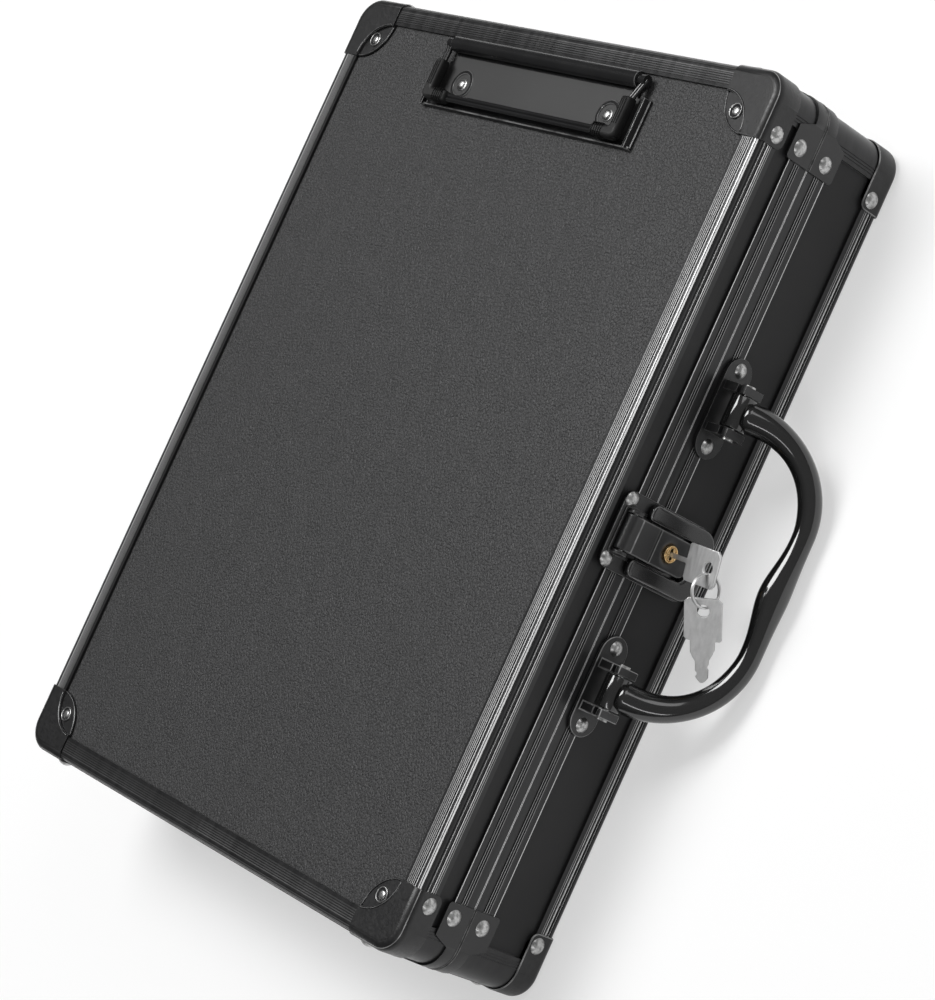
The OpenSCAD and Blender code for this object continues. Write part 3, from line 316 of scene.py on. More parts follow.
def cap_steel():
    """Coated steel of the corner caps: a painted shade line along a pressed crease, a patchy painted
    highlight line along the rounded edge, both near the outer faces, and edges lightened for wear and a
    painted highlight.
    """
    m = Mat("cap_steel", Specular_IOR_Level=0.45)
    peel = m.noise(1000.0, 3.0, 0.6)
    m.bump(m.math("ADD", peel, m.math("MULTIPLY", m.noise(300.0, 2.0), 0.6)), 0.00008, 0.7)
    x, y, z = m.place_mm()
    squares = []
    for value, half in ((x, CAP_HIGH.x), (y, CAP_HIGH.y)):
        past_centre = m.math("MAXIMUM", m.math("SUBTRACT", CAP_R, m.inward(value, half)), 0.0)
        squares.append(m.math("POWER", past_centre, 2.0))
    from_edge = m.math("SUBTRACT", CAP_R, m.math("SQRT", m.math("ADD", *squares)))
    from_outside = m.math("MINIMUM", m.math("SUBTRACT", CAP_HIGH.z, z), z)
    upper = m.math("LESS_THAN", from_outside, 2.0)
    patchy = m.span(m.noise(140.0, 4.0, 0.6), 0.35, 1.0, 0.35, 0.6)
    # painted highlight: a pale patchy line along the rounded edge
    fillet_highlight = m.math("MULTIPLY", m.stripes(from_edge, CAP_R, [(0.8, 0.22, 1.0)]), upper)
    fillet_highlight = m.math("MULTIPLY", fillet_highlight, patchy)
    # painted shade: a near-black line where a pressed crease would be shaded
    crease_shade = m.math("MULTIPLY", m.stripes(from_edge, CAP_R, [(3.4, 0.4, 1.0)]), upper)
    base = m.ramp(m.noise(500.0, 4.0), (0.3, cool(0.006)), (0.7, cool(0.013)))
    base = m.mix(fillet_highlight, m.mix(crease_shade, base, grey(0.002)), grey(0.34))
    m.set(Base_Color=m.edge_wear_and_highlight(base, 0.32), Roughness=m.span(peel, 0.34, 0.48, 0.3, 0.7))
    return m


def highlight_line_metal():
    """Pale patchy metal for the thin tubes that are painted highlights along edges."""
    m = Mat("highlight_line_metal", Metallic=0.5, Roughness=0.4)
    m.set(Base_Color=m.ramp(m.noise(260.0, 4.0, 0.6), (0.32, 0.05), (0.62, 0.26)))
    return m


def gloss_black_metal():
    """Lacquered black metal of the bezel and the clip's wires, its edges lightened for wear and a painted
    highlight.
    """
    m = Mat("gloss_black_metal", Specular_IOR_Level=0.6, Coat_Weight=0.25, Coat_Roughness=0.15)
    m.bump(m.noise(220.0, 2.0), 0.00003, 0.3)
    base = m.ramp(m.noise(50.0), (0.3, cool(0.005)), (0.7, cool(0.009)))
    m.set(Base_Color=m.edge_wear_and_highlight(base, 0.35), Roughness=m.span(m.noise(90.0, 4.0), 0.17, 0.26))
    return m


def gloss_black_plate():
    """The clip's lacquered plate: dull and paler in the middle, glossy black round it, its edges lightened
    for wear and a painted highlight.
    """
    m = Mat("gloss_black_plate", Specular_IOR_Level=0.6)
    middle_y, half_w, half_l = 143.9, 61.5, 9.7
    x, y, z = m.place_mm()
    inside_x = m.inward(m.math("SUBTRACT", x, CLIP_X), half_w)
    inside_y = m.inward(m.math("SUBTRACT", y, middle_y), half_l)
    inside = m.math("GREATER_THAN", m.math("MINIMUM", inside_x, inside_y), 0.0)
    middle = m.math("MULTIPLY", m.math("LESS_THAN", z, Z_FACE + 0.1), inside)
    dark = m.ramp(m.noise(50.0), (0.3, cool(0.007)), (0.7, cool(0.013)))
    pale = m.ramp(m.noise(30.0, 4.0), (0.3, 0.011), (0.7, 0.017))
    m.set(Base_Color=m.mix(middle, m.edge_wear_and_highlight(dark, 0.22), pale))
    m.set(Roughness=m.mix(middle, m.span(m.noise(90.0, 4.0), 0.16, 0.26), grey(0.5)))
    m.bump(m.noise(220.0, 2.0), 0.00003, 0.3)
    return m


def nickel():
    """Plated steel of rivets and pins, mottled."""
    m = Mat("nickel", Metallic=1.0)
    mottle = m.noise(700.0, 4.0, 0.6)
    m.set(Base_Color=m.ramp(mottle, (0.34, 0.24), (0.5, (0.45, 0.45, 0.445, 1)), (0.66, 0.5)))
    m.set(Roughness=m.span(mottle, 0.42, 0.26, 0.35, 0.65))
    m.bump(mottle, 0.00006, 0.6)
    return m


def brass():
    m = Mat("brass", Metallic=1.0)
    mottle = m.noise(1500.0, 3.0, 0.6)
    m.set(Base_Color=m.ramp(mottle, (0.3, (0.66, 0.42, 0.18, 1)), (0.7, (0.92, 0.68, 0.36, 1))))
    m.set(Roughness=m.span(mottle, 0.22, 0.34))
    m.bump(mottle, 0.00003, 0.5)
    return m


def key_steel():
    """Pale stamped steel with scratches across it and soft blots."""
    m = Mat("key_steel", Metallic=0.85)
    scratch = m.noise(900.0, 4.0, 0.6, at=m.scaled((1.0, 0.15, 0.6)))
    blots = m.noise(300.0, 4.0, 0.6)
    mottle = m.math("ADD", m.math("MULTIPLY", scratch, 0.7), m.math("MULTIPLY", blots, 0.3))
    m.set(Base_Color=m.ramp(mottle, (0.3, 0.56), (0.7, 0.72)))
    m.set(Roughness=m.span(mottle, 0.38, 0.5, 0.3, 0.7))
    m.bump(mottle, 0.00003, 0.5)
    return m


def handle_plastic():
    """Glossy moulded black plastic."""
    m = Mat("handle_plastic", Specular_IOR_Level=0.6, Coat_Weight=0.5, Coat_Roughness=0.04)
    m.bump(m.noise(120.0, 2.0), 0.00004, 0.2)
    m.set(Base_Color=m.ramp(m.noise(50.0), (0.3, 0.004), (0.7, 0.006)))
    m.set(Roughness=m.span(m.noise(150.0, 4.0), 0.1, 0.16))
    return m


def rubber():
    m = Mat("rubber", Specular_IOR_Level=0.35)
    m.bump(m.noise(1100.0), 0.00005, 0.6)
    m.set(Base_Color=m.ramp(m.noise(200.0, 4.0), (0.3, 0.006), (0.7, 0.013)))
    m.set(Roughness=m.span(m.noise(500.0), 0.45, 0.65))
    return m


MATS = {m.name: m.made for m in (
    panel_cover(), board_cover(), lining(), black_anodised("black_anodised", True),
    black_anodised("anodised_plain", False), black_coated_steel(), cap_steel(), highlight_line_metal(),
    gloss_black_metal(), gloss_black_plate(), nickel(), brass(), key_steel(), handle_plastic(), rubber(),
)}


def dress_nodes():
    """Gives each CAD node its slot's material. The corner posts get the plain anodising, without the
    painted highlight lines.
    """
    for node, slot in SLOTS.items():
        mesh = nodes[node].data
        mesh.materials.clear()
        mesh.materials.append(MATS["anodised_plain" if "corner_posts" in node else slot])


# ---------------------------------------------------------------- mesh tools


def new_piece(name, bm, material, body, node=None):
    """A piece that rides on a body. One that stands for a node hides that node."""
    mesh = bpy.data.meshes.new(name)
    bmesh.ops.recalc_face_normals(bm, faces=bm.faces[:])
    bm.to_mesh(mesh)
    bm.free()
    piece = bpy.data.objects.new(name, mesh)
    scene.collection.objects.link(piece)
    mesh.materials.append(MATS[material])
    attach(piece, body)
    if node:
        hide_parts(node)
    return piece


def pointing(azimuth, elevation):
    """The direction at these angles, in degrees."""
    az, el = math.radians(azimuth), math.radians(elevation)
    return Vector((math.cos(el) * math.cos(az), math.cos(el) * math.sin(az), math.sin(el)))


def twisted(direction, angle):
    """A direction square to the one given: level at 0 degrees, upwards at 90."""
    level = Z_AXIS.cross(direction).normalized()
    turn = math.radians(angle)
    return math.cos(turn) * level + math.sin(turn) * direction.cross(level)


def axes(origin, x, y):
    """The matrix whose local x and y point along the directions given."""
    x = Vector(x).normalized()
    z = x.cross(Vector(y)).normalized()
    return Matrix.Translation(origin) @ Matrix((x, z.cross(x), z)).transposed().to_4x4()


def place(origin, x=X_AXIS, y=Y_AXIS):
    """Takes local millimetres to the frame's metres."""
    return TO_METRES @ axes(origin, x, y)


def arc(cx, cy, r, start, end, steps=8):
    """Points on a circle from one angle to another, in degrees."""
    angles = [math.radians(start + (end - start) * k / steps) for k in range(steps + 1)]
    return [(cx + r * math.cos(a), cy + r * math.sin(a)) for a in angles]


def disc(r, sides):
    """A closed anticlockwise circle round the origin."""
    return arc(0, 0, r, 0, 360, sides)[:-1]


def rounded_box(x0, y0, x1, y1, radii, steps=8):
    """Anticlockwise outline, with radii at (x0, y0), (x1, y0), (x1, y1) and (x0, y1)."""
    r0, r1, r2, r3 = radii
    return (arc(x0 + r0, y0 + r0, r0, 180, 270, steps) + arc(x1 - r1, y0 + r1, r1, 270, 360, steps)
            + arc(x1 - r2, y1 - r2, r2, 0, 90, steps) + arc(x0 + r3, y1 - r3, r3, 90, 180, steps))


def mirrored(half):
    """A half outline on the right, closed by its mirror image on the left."""
    return half + [(-x, y) for x, y in reversed(half)]


def inset(loop, distance):
    """A closed anticlockwise loop moved inwards. Sharp points move by less than a full mitre."""
    out = []
    for p, q, r in zip(loop[-1:] + loop[:-1], loop, loop[1:] + loop[:1]):
        a = Vector((q[0] - p[0], q[1] - p[1])).normalized()
        b = Vector((r[0] - q[0], r[1] - q[1])).normalized()
        across = Vector((-a.y - b.y, a.x + b.x))
        across /= max(0.3, across.length_squared / 2)
        out.append((q[0] + across.x * distance, q[1] + across.y * distance))
    return out


def fallen(distance, radius):
    """How far a rounded edge has fallen back at a distance from its rim."""
    if distance >= radius:
        return 0.0
    return radius - math.sqrt(max(0.0, radius ** 2 - (radius - distance) ** 2))


def bridge(bm, low, high, closed=True):
    """Smooth quads between two rows of vertices."""
    for k in range(len(low) if closed else len(low) - 1):
        after = (k + 1) % len(low)
        bm.faces.new((low[k], low[after], high[after], high[k])).smooth = True


def fill(bm, rings):
    """A flat face inside closed rings of vertices."""
    edges = [bm.edges.get(pair) for ring in rings for pair in zip(ring, ring[1:] + ring[:1])]
    made = bmesh.ops.triangle_fill(bm, use_beauty=True, edges=edges)
    for face in made["geom"]:
        if isinstance(face, bmesh.types.BMFace):
            face.smooth = False


def wear_and_highlight_layer(bm):
    return bm.verts.layers.float.get("wear_and_highlight") or bm.verts.layers.float.new("wear_and_highlight")


def plate(bm, outline, holes, z0, z1, edge, at, back_edge=0.0, steps=3):
    """A flat plate from z0 to z1, rounded at z1. Its outline runs anticlockwise, its holes clockwise."""
    fronts, backs = [], []
    wear_and_highlight = wear_and_highlight_layer(bm)
    for loop in [outline] + holes:
        levels = [(loop, z0)]
        if back_edge:
            levels = [(inset(loop, back_edge), z0), (loop, z0 + back_edge)]
        for k in range(steps + 1):
            a = math.pi / 2 * k / steps
            levels.append((inset(loop, edge * (1 - math.cos(a))), z1 - edge + edge * math.sin(a)))
        rings = [[bm.verts.new(at @ Vector((x, y, z))) for x, y in points] for points, z in levels]
        # the middle of the rounded edge is marked for a lighter colour: wear and a painted highlight
        for v in rings[-2 - steps // 2]:
            v[wear_and_highlight] = 1.0
        for low, high in zip(rings, rings[1:]):
            bridge(bm, low, high)
        fronts.append(rings[-1])
        backs.append(rings[0])
    fill(bm, fronts)
    fill(bm, backs)


def tube(bm, path, radii, sides):
    """A smooth tube through the points, its section carried along without twist."""
    points = [Vector(q) for q in path]
    rings = []
    up = None
    for k, (q, radius) in enumerate(zip(points, radii)):
        along = (points[min(k + 1, len(points) - 1)] - points[max(k - 1, 0)]).normalized()
        if up is None:
            up = along.orthogonal()
        up = (up - along * up.dot(along)).normalized()
        side = along.cross(up)
        rings.append([bm.verts.new(MM * (q + x * up + y * side)) for x, y in disc(radius, sides)])
    for low, high in zip(rings, rings[1:]):
        bridge(bm, low, high)
    bm.faces.new(rings[0])
    bm.faces.new(rings[-1])


def revolve(bm, profile, at, sides=36, caps=(-1,), joined=False):
    """Turns (radius, height) points round local Z. Caps close rings; a joined profile closes on itself."""
    rings = [[bm.verts.new(at @ Vector((x, y, z))) for x, y in disc(r, sides)] for r, z in profile]
    for low, high in zip(rings, rings[1:]):
        bridge(bm, low, high)
    if joined:
        bridge(bm, rings[-1], rings[0])
    for k in caps:
        bm.faces.new(rings[k])


# ---------------------------------------------------------------- latch and keys

LATCH_FACE = place((0, LATCH_Y, 0), Y_AXIS, Z_AXIS)  # local x, y, z run along the frame's Y, Z, X


def catch_plate():
    """Pressed plate on the lid: a raised rim round the hasp's pocket, and the two ears of its hinge."""
    bm = bmesh.new()
    low, high = corners("catch_plate")
    half, rim_half, well_half = (high.y - low.y) / 2, 9.2, 8.3
    outline = rounded_box(-half, low.z, half, high.z, (0.3, 0.3, 4.5, 4.5))
    plate(bm, outline, [], WALL_X, WALL_X + 1.6, 0.45, LATCH_FACE)
    rim = rounded_box(-rim_half, low.z, rim_half, high.z - 1.6, (0.3, 0.3, 1.6, 1.6))
    well = rounded_box(-well_half, low.z + 0.7, well_half, high.z - 2.5, (0.4, 0.4, 1.0, 1.0))
    plate(bm, rim, [well[::-1]], WALL_X + 1.5, WALL_X + 2.15, 0.22, LATCH_FACE)
    root_x, ear_out, ear_t = HASP_X - 3.2, 7.75, 1.5
    ear = [(root_x, HASP_Z - BARREL_R), (HASP_X, HASP_Z - BARREL_R)]
    ear += arc(HASP_X, HASP_Z, BARREL_R, -80, 90, 14) + [(root_x, HASP_Z + BARREL_R)]
    for side in (-1, 1):
        at = place((0, LATCH_Y + side * ear_out, 0), X_AXIS, Z_AXIS)
        plate(bm, ear, [], -ear_t / 2, ear_t / 2, 0.3, at, back_edge=0.3)
    new_piece("catch_plate_pressed", bm, "black_coated_steel", "lid", "catch_plate")


def bezel():
    """Cast bezel on the base: a flat plate, and on it a fork whose channel takes the hasp."""
    bm = bmesh.new()
    low, high = corners("latch_bezel")
    half, top, fork_in = (high.y - low.y) / 2, Z_PART - 0.1, 0.7
    outline = rounded_box(-half, low.z, half, top, (7.5, 7.5, 0.2, 0.2))
    plate(bm, outline, [], WALL_X, WALL_X + 0.75, 0.3, LATCH_FACE)
    outer, inner, horn, floor = half - fork_in, 7.6, 48.2, 20.2
    foot_r, tip_r, lip_r, channel_r = 7.4, 3.0, 1.9, 3.0
    fork_back, ledge = WALL_X + 1.85, WALL_X + 2.9
    foot = arc(outer - foot_r, low.z + fork_in + foot_r, foot_r, 270, 360, 12)
    tip = arc(outer - tip_r, horn - tip_r, tip_r, 0, 90, 8)
    tip += arc(inner + lip_r, horn - lip_r, lip_r, 90, 180, 6)
    channel = arc(inner - channel_r, floor + channel_r, channel_r, 0, -90, 8)
    plate(bm, mirrored(foot + tip + channel), [], fork_back, high.x, 1.3, LATCH_FACE, steps=5)
    # the lower layer stands back from the channel, which leaves the groove that the cam turns into
    for groove, x0, x1 in ((1.7, WALL_X + 0.5, fork_back), (0.0, fork_back, ledge)):
        wide, sill = inner + groove, floor - groove
        channel = arc(wide - channel_r, sill + channel_r, channel_r, 0, -90, 8)
        layer = inset(mirrored(foot + [(outer, top), (wide, top)] + channel), 0.02)
        plate(bm, layer, [], x0, x1, 0.01, LATCH_FACE, steps=1)
    new_piece("bezel_cast", bm, "gloss_black_metal", "base", "latch_bezel")


class Hasp:
    """Strap with a rolled knuckle, a ridge, and a block dished round the lock."""

    def __init__(self):
        low, high = corners("hasp")
        self.half, self.end, self.front = (high.y - low.y) / 2, low.z, high.x
        self.end_r, self.edge_r = 3.0, 0.8
        self.ridge, self.step = 41.8, 0.9  # the block ends at the ridge and falls back over the step
        self.bend = 52.0  # the strap turns into the knuckle here
        near_side = [0.84, 0.9, 0.95, 0.985, 1.0]
        self.across = [-u for u in reversed(near_side)] + [k / 10 for k in range(-8, 9)] + near_side
        self.bm = bmesh.new()
        self.wear_and_highlight = wear_and_highlight_layer(self.bm)

    def half_at(self, z):
        """Half the strap's width, less where its end is rounded."""
        return self.half - fallen(z - self.end, self.end_r)

    def levels(self):
        """Heights of the front's rows: close together where it is rounded or steps back."""
        near_end = [0, 0.05, 0.15, 0.3, 0.5, 0.75, 1.1, 1.6, 2.2]
        near_end += [self.end_r + 0.55 * k for k in range(29)]
        near_ridge = [-0.9, -0.55, -0.3, -0.12, 0.0, 0.12, 0.3, 0.5, 0.9]
        above = [43.6, 45, 47, 49, 50.6, 51.4, 51.8, 52.0, 52.2, 52.6, 53.2, 54.0, 54.6]
        found = [self.end + d for d in near_end] + [self.ridge + d for d in near_ridge] + above
        return sorted({round(z, 3) for z in found})

    def dish(self, y, z):
        """The hollow round the lock and the shallow valley that runs from it to the end."""
        depth = 0.0
        dish_r, dish_depth, valley_half, valley_depth = 6.0, 1.6, 4.6, 0.8
        r = math.hypot(y, (z - LOCK_Z) * 0.9)
        if r < dish_r:
            depth += dish_depth * min(1.0, (math.cos(math.pi * r / dish_r) + 1) / 1.15)
        if z < LOCK_Z and abs(y) < valley_half:
            profile = (math.cos(math.pi * y / valley_half) + 1) / 2
            depth += valley_depth * profile * min(1.0, (LOCK_Z - z) / 5)
        return depth

    def front_at(self, u, z):
        """The front's x and y, and how much its colour is lightened for wear and a painted highlight, at u
        across from -1 to 1 and at a height.
        """
        half = self.half_at(z)
        hollow, hollow_z, hollow_half = 0.25, 47.4, 5.0
        x, y, worn_highlit = self.front, u * half, 0.0
        if z <= self.ridge:
            x -= self.dish(y, z)
            # painted highlight, with wear: bright lines along the ridge, the bend and the strap's rounded
            # rims
            if z > self.ridge - 0.5:
                worn_highlit = 1.0 if z > self.ridge - 0.3 else 0.4
        elif z < self.ridge + self.step:
            x -= 0.5 * math.sin(math.pi * (z - self.ridge) / self.step)
        elif z < self.bend:
            x -= hollow * (1 - ((z - hollow_z) / hollow_half) ** 2)
        if self.bend - 0.3 < z < self.bend + 0.4:
            worn_highlit = 1.0
        rim = half - abs(y)
        if z < self.ridge:
            rim = min(rim, z - self.end)
        if 0.1 < rim < 0.5:
            worn_highlit = max(worn_highlit, 0.7)
        return x - fallen(rim, self.edge_r), y, worn_highlit

    def vertex(self, x, y, z):
        return self.bm.verts.new(MM * Vector((x, LATCH_Y + y, z)))

    def rows(self):
        """Rows of vertices up the front, round the knuckle and down the back."""
        rows = []
        for z in self.levels():
            found = [self.front_at(u, z) for u in self.across]
            rows.append([self.vertex(x, y, z) for x, y, _ in found])
            for v, (_, _, worn_highlit) in zip(rows[-1], found):
                v[self.wear_and_highlight] = worn_highlit
        for angle in range(10, 270, 10):
            cos, sin = math.cos(math.radians(angle)), math.sin(math.radians(angle))
            row = []
            for u in self.across:
                r = BARREL_R - fallen(self.half - abs(u * self.half), 0.5)
                row.append(self.vertex(HASP_X + r * cos, u * self.half, HASP_Z + r * sin))
            rows.append(row)
        strap_x, block_x = 132.8, 131.2
        back = [(132.0, 51.9), (strap_x, 51.0), (strap_x, 42.0)]
        back += [(block_x, z) for z in (41.6, 26.0, 24.0, 22.9)]
        for x, z in back:
            rows.append([self.vertex(x, u * self.half_at(z), z) for u in self.across])
        return rows

    def make(self):
        rows = self.rows()
        for low, high in zip(rows, rows[1:] + rows[:1]):
            bridge(self.bm, low, high, closed=False)
        for side in (0, -1):
            fill(self.bm, [[row[side] for row in rows]])
        new_piece("hasp_dished", self.bm, "black_coated_steel", "latch", "hasp")


KEY_LEAN = math.radians(14)  # the lock key's blade leans from level
KEY_ACROSS = Vector((0, math.cos(KEY_LEAN), math.sin(KEY_LEAN)))
KEY_HOLE_R, KEY_HOLE_IN, KEY_T, KEY_EDGE = 2.4, 4.7, 1.2, 0.16
HEAD_L, HEAD_W = 16.0, 13.8


def key(name, body, node, at, blade):
    """A stamped key whose hole is at the origin. The blade's points go out from the head, then back."""
    head_end, blade_start, half = KEY_HOLE_IN, KEY_HOLE_IN - HEAD_L, HEAD_W / 2
    cut, low_cut, high_cut = 1.5, 1.1, 0.6
    loop = [(blade_start + low_cut, -half), (head_end - cut, -half), (head_end, cut - half)]
    loop += [(head_end, half - cut), (head_end - cut, half), (blade_start + high_cut, half)]
    loop += [(blade_start, half - high_cut)] + [(blade_start - reach, y) for reach, y in blade]
    loop.append((blade_start, low_cut - half))
    hole = disc(KEY_HOLE_R, 28)[::-1]
    bm = bmesh.new()
    plate(bm, loop, [hole], -KEY_T / 2, KEY_T / 2, KEY_EDGE, at, back_edge=KEY_EDGE)
    new_piece(name, bm, "key_steel", body, node)


def lock_key():
    """The key in the plug, with a plain narrow neck."""
    half, flare, reach = 0.85, 0.4, 11.7
    neck = [(0.0, half + flare), (flare, half), (reach, half)]
    neck += [(x, -y) for x, y in reversed(neck)]
    key("lock_key", "lock", "key_in_lock", place(PIVOTS["ring_swing"], X_AXIS, KEY_ACROSS), neck)


def spare_key():
    """The key on the ring, with shoulders and a milled blade."""
    hangs = pointing(-91, -32)
    across = twisted(hangs, -127).cross(-hangs)
    upper = [
        (0.0, 5.2), (0.2, 4.5), (3.6, 4.4), (4.4, 3.9), (5.2, 3.7), (7.4, 2.5), (9.0, 2.4), (9.6, 1.9),
        (10.6, 1.9), (11.2, 2.4), (14.2, 2.3), (15.3, 1.4), (16.0, 0.5),
    ]
    lower = [
        (0.0, 5.2), (0.2, 4.5), (4.4, 4.4), (6.6, 3.4), (8.0, 2.5), (11.6, 2.4), (12.2, 1.8), (13.2, 1.8),
        (13.8, 2.3), (15.0, 1.5), (16.0, 0.5),
    ]
    blade = upper + [(x, -y) for x, y in reversed(lower)]
    key("hanging_key", "spare", "spare_key", place(PIVOTS["spare_swing"], -hangs, across), blade)


def lock_face():
    """The turned ring round the lock, and the plug with its keyway."""
    ring, plug = bmesh.new(), bmesh.new()
    low, high = corners("lock_cylinder")
    depth = low.x - high.x
    profile = [(3.3, depth), (3.3, -0.3), (3.15, -0.08), (2.95, 0.0), (2.75, -0.06), (2.56, -0.3)]
    profile.append((2.54, depth))
    revolve(ring, profile, place((high.x, LATCH_Y, LOCK_Z), Y_AXIS, Z_AXIS), 40, caps=(), joined=True)
    new_piece("lock_ring", ring, "brass", "latch", "lock_cylinder")
    low, high = corners("lock_plug")
    keyway_end = high.x - 2.2
    keyway = rounded_box(-2.15, -0.62, 2.15, 0.62, (0.3,) * 4, 3)
    at = place((0, LATCH_Y, LOCK_Z), KEY_ACROSS, Z_AXIS)
    plate(plug, disc(2.48, 36), [keyway[::-1]], keyway_end, high.x, 0.22, at)
    plate(plug, disc(2.4, 36), [], low.x, keyway_end, 0.05, at, steps=1)
    new_piece("plug_turned", plug, "brass", "lock", "lock_plug")


# ---------------------------------------------------------------- handle, caps, braces and clip


def handle():
    """Moulded handle: arms that thicken towards their hubs, and a grip that swells in the middle."""
    bm = bmesh.new()
    pivot, droop = PIVOTS["handle_hinge"], math.radians(45)
    outwards = Vector((math.cos(droop), 0, -math.sin(droop)))
    reach, arm_y, bend_r, grip_r = 39.0, 55.0, 31.5, 4.5
    bend_out, bend_y = reach - bend_r, arm_y - bend_r
    half = [(2.0, arm_y), (4.6, arm_y), (bend_out, arm_y)]
    half += arc(bend_out, bend_y, bend_r, 86, 2, 21)
    half += [(reach, bend_y * (1 - k / 20)) for k in range(1, 21)]
    path, radii = [], []
    for out, y in half + [(out, -y) for out, y in reversed(half[:-1])]:
        swell = math.exp(-(y / 10.5) ** 2)
        waist = math.exp(-((abs(y) - 21) / 9.0) ** 2) if out > 30 else 0.0
        flare = math.exp(-(out / 18.0) ** 2) if abs(y) > 30 else 0.0
        path.append(pivot + (out - 0.8 * swell + 0.35 * waist) * outwards + y * Y_AXIS)
        radii.append(grip_r + 1.35 * swell - 0.35 * waist + 1.6 * flare)
    tube(bm, path, radii, 40)
    hub = [(4.3, -6.3), (4.7, -6.15), (4.88, -5.85), (4.88, 5.85), (4.7, 6.15), (4.3, 6.3)]
    for side in (-1, 1):
        at = place(pivot + side * arm_y * Y_AXIS, X_AXIS, Z_AXIS)
        revolve(bm, hub, at, 40, caps=(0, -1))
    new_piece("handle_moulded", bm, "handle_plastic", "carry_handle", "handle")


def eyelets():
    """Flared eyelets in the lid's corner caps, each with a bright domed end in it and a matt black disc
    under it as painted shade in the throat.
    """
    ring, shade_disc = bmesh.new(), bmesh.new()
    low, high = corners("cap_eyelets")
    flange = [(3.08, low.z - high.z), (3.08, -0.4), (3.02, -0.14), (2.88, -0.02), (2.7, -0.02)]
    flange += [(2.6, -0.12), (2.55, -0.3), (2.5, -0.6)]
    dome = [(1.75, -0.62), (1.7, -0.4), (1.5, -0.2), (1.1, -0.06), (0.6, -0.01), (0.05, 0.0)]
    inwards = 17.2  # from the case's sides
    for sx, sy in QUARTERS:
        at = place((sx * (HALF_W - inwards), sy * (HALF_L - inwards), high.z))
        revolve(ring, flange, at)
        revolve(ring, dome, at)
        # painted shade: a matt black disc fills the throat
        revolve(shade_disc, [(2.56, -0.3), (2.4, -0.46), (1.9, -0.52), (0.05, -0.52)], at)
    new_piece("eyelet_rings", ring, "nickel", "lid", "cap_eyelets")
    new_piece("eyelet_shade_discs", shade_disc, "lining", "lid")


def lens_beads():
    """Pressed beads round the sunken lens of each lid cap, each with a thin pale tube along its top as a
    painted highlight.
    """
    bead, highlight_tubes = bmesh.new(), bmesh.new()
    lens = 16.0  # from the cap's inner corner to the centre of the lens's second arc
    outer = (0.0, 3, 87, lens - 0.25, CAP_HIGH.z - 0.15, 0.42)
    inner = (lens, 183, 267, lens - 0.3, CAP_HIGH.z - 1.2, 0.36)
    for sx, sy in QUARTERS:
        for centre, start, end, r, z, thick in (outer, inner):
            curve = arc(CAP_LOW.x + centre, CAP_LOW.y + centre, r, start, end, 24)
            for bm, lift, radius in ((bead, 0.0, thick), (highlight_tubes, 0.8 * thick, 0.34 * thick)):
                tube(bm, [(sx * x, sy * y, z + lift) for x, y in curve], [radius] * len(curve), 10)
    new_piece("lens_beads", bead, "gloss_black_metal", "lid")
    new_piece("lens_highlights", highlight_tubes, "highlight_line_metal", "lid")


def brace_highlights():
    """Painted highlights: thin pale tubes along the edges where the lid's and the base's corner braces
    meet.
    """
    arm, highlight_r = 26.0, 0.16
    curve = [(CAP_HIGH.x, CAP_HIGH.y - arm)] + arc(HALF_W - CORNER_R, HALF_L - CORNER_R, CAP_R, 0, 90, 14)
    curve.append((CAP_HIGH.x - arm, CAP_HIGH.y))
    for body, z in (("lid", Z_PART + 0.45), ("base", Z_PART - 0.45)):
        bm = bmesh.new()
        for sx, sy in QUARTERS:
            tube(bm, [(sx * x, sy * y, z) for x, y in curve], [highlight_r] * len(curve), 8)
        new_piece("brace_highlight_" + body, bm, "highlight_line_metal", body)


def clip_sleeves():
    """Ribbed L-shaped sleeves over the jaw's front corners."""
    bm = bmesh.new()
    jaw_half, jaw_y, jaw_z, width = 57.5, 134.8, 75.8, 4.7
    arm_l, leg_l, bend_r = 14.6, 17.2, 3
    outer, front = jaw_half + width / 2, jaw_y - width / 2
    inner, back, end, top = outer - width, front + width, outer - arm_l, front + leg_l
    sleeve = arc(outer - bend_r, front + bend_r, bend_r, 270, 360, 8)
    sleeve += arc(outer - 1, top - 1, 1, 0, 90, 4) + arc(inner + 1, top - 1, 1, 90, 180, 4)
    sleeve += arc(inner - 1, back + 1, 1, 0, -90, 4)
    sleeve += arc(end + 1, back - 1, 1, 90, 180, 4) + arc(end + 1, front + 1, 1, 180, 270, 4)
    parts = [(sleeve, -2.5, 2.5, 1.3, 1.0, 3)]
    for k in range(5):
        x = end + 1.6 + 1.25 * k
        rib = rounded_box(x, front - 0.22, x + 0.6, back + 0.22, (0.1,) * 4, 2)
        parts.append((rib, -1.9, 2.72, 0.25, 0.0, 1))
    for k in range(3):
        x = inner + 0.95 + 1.1 * k
        rib = rounded_box(x, back + 1.0, x + 0.5, top - 1.4, (0.1,) * 4, 2)
        parts.append((rib, 0.0, 2.75, 0.2, 0.0, 1))
    for side in (-1, 1):
        for outline, low, high, edge, back_edge, steps in parts:
            turned = [(CLIP_X + side * x, y) for x, y in outline][::side]
            plate(bm, turned, [], jaw_z + low, jaw_z + high, edge, TO_METRES, back_edge, steps)
    new_piece("clip_sleeves", bm, "rubber", "jaw", "clip_grips")


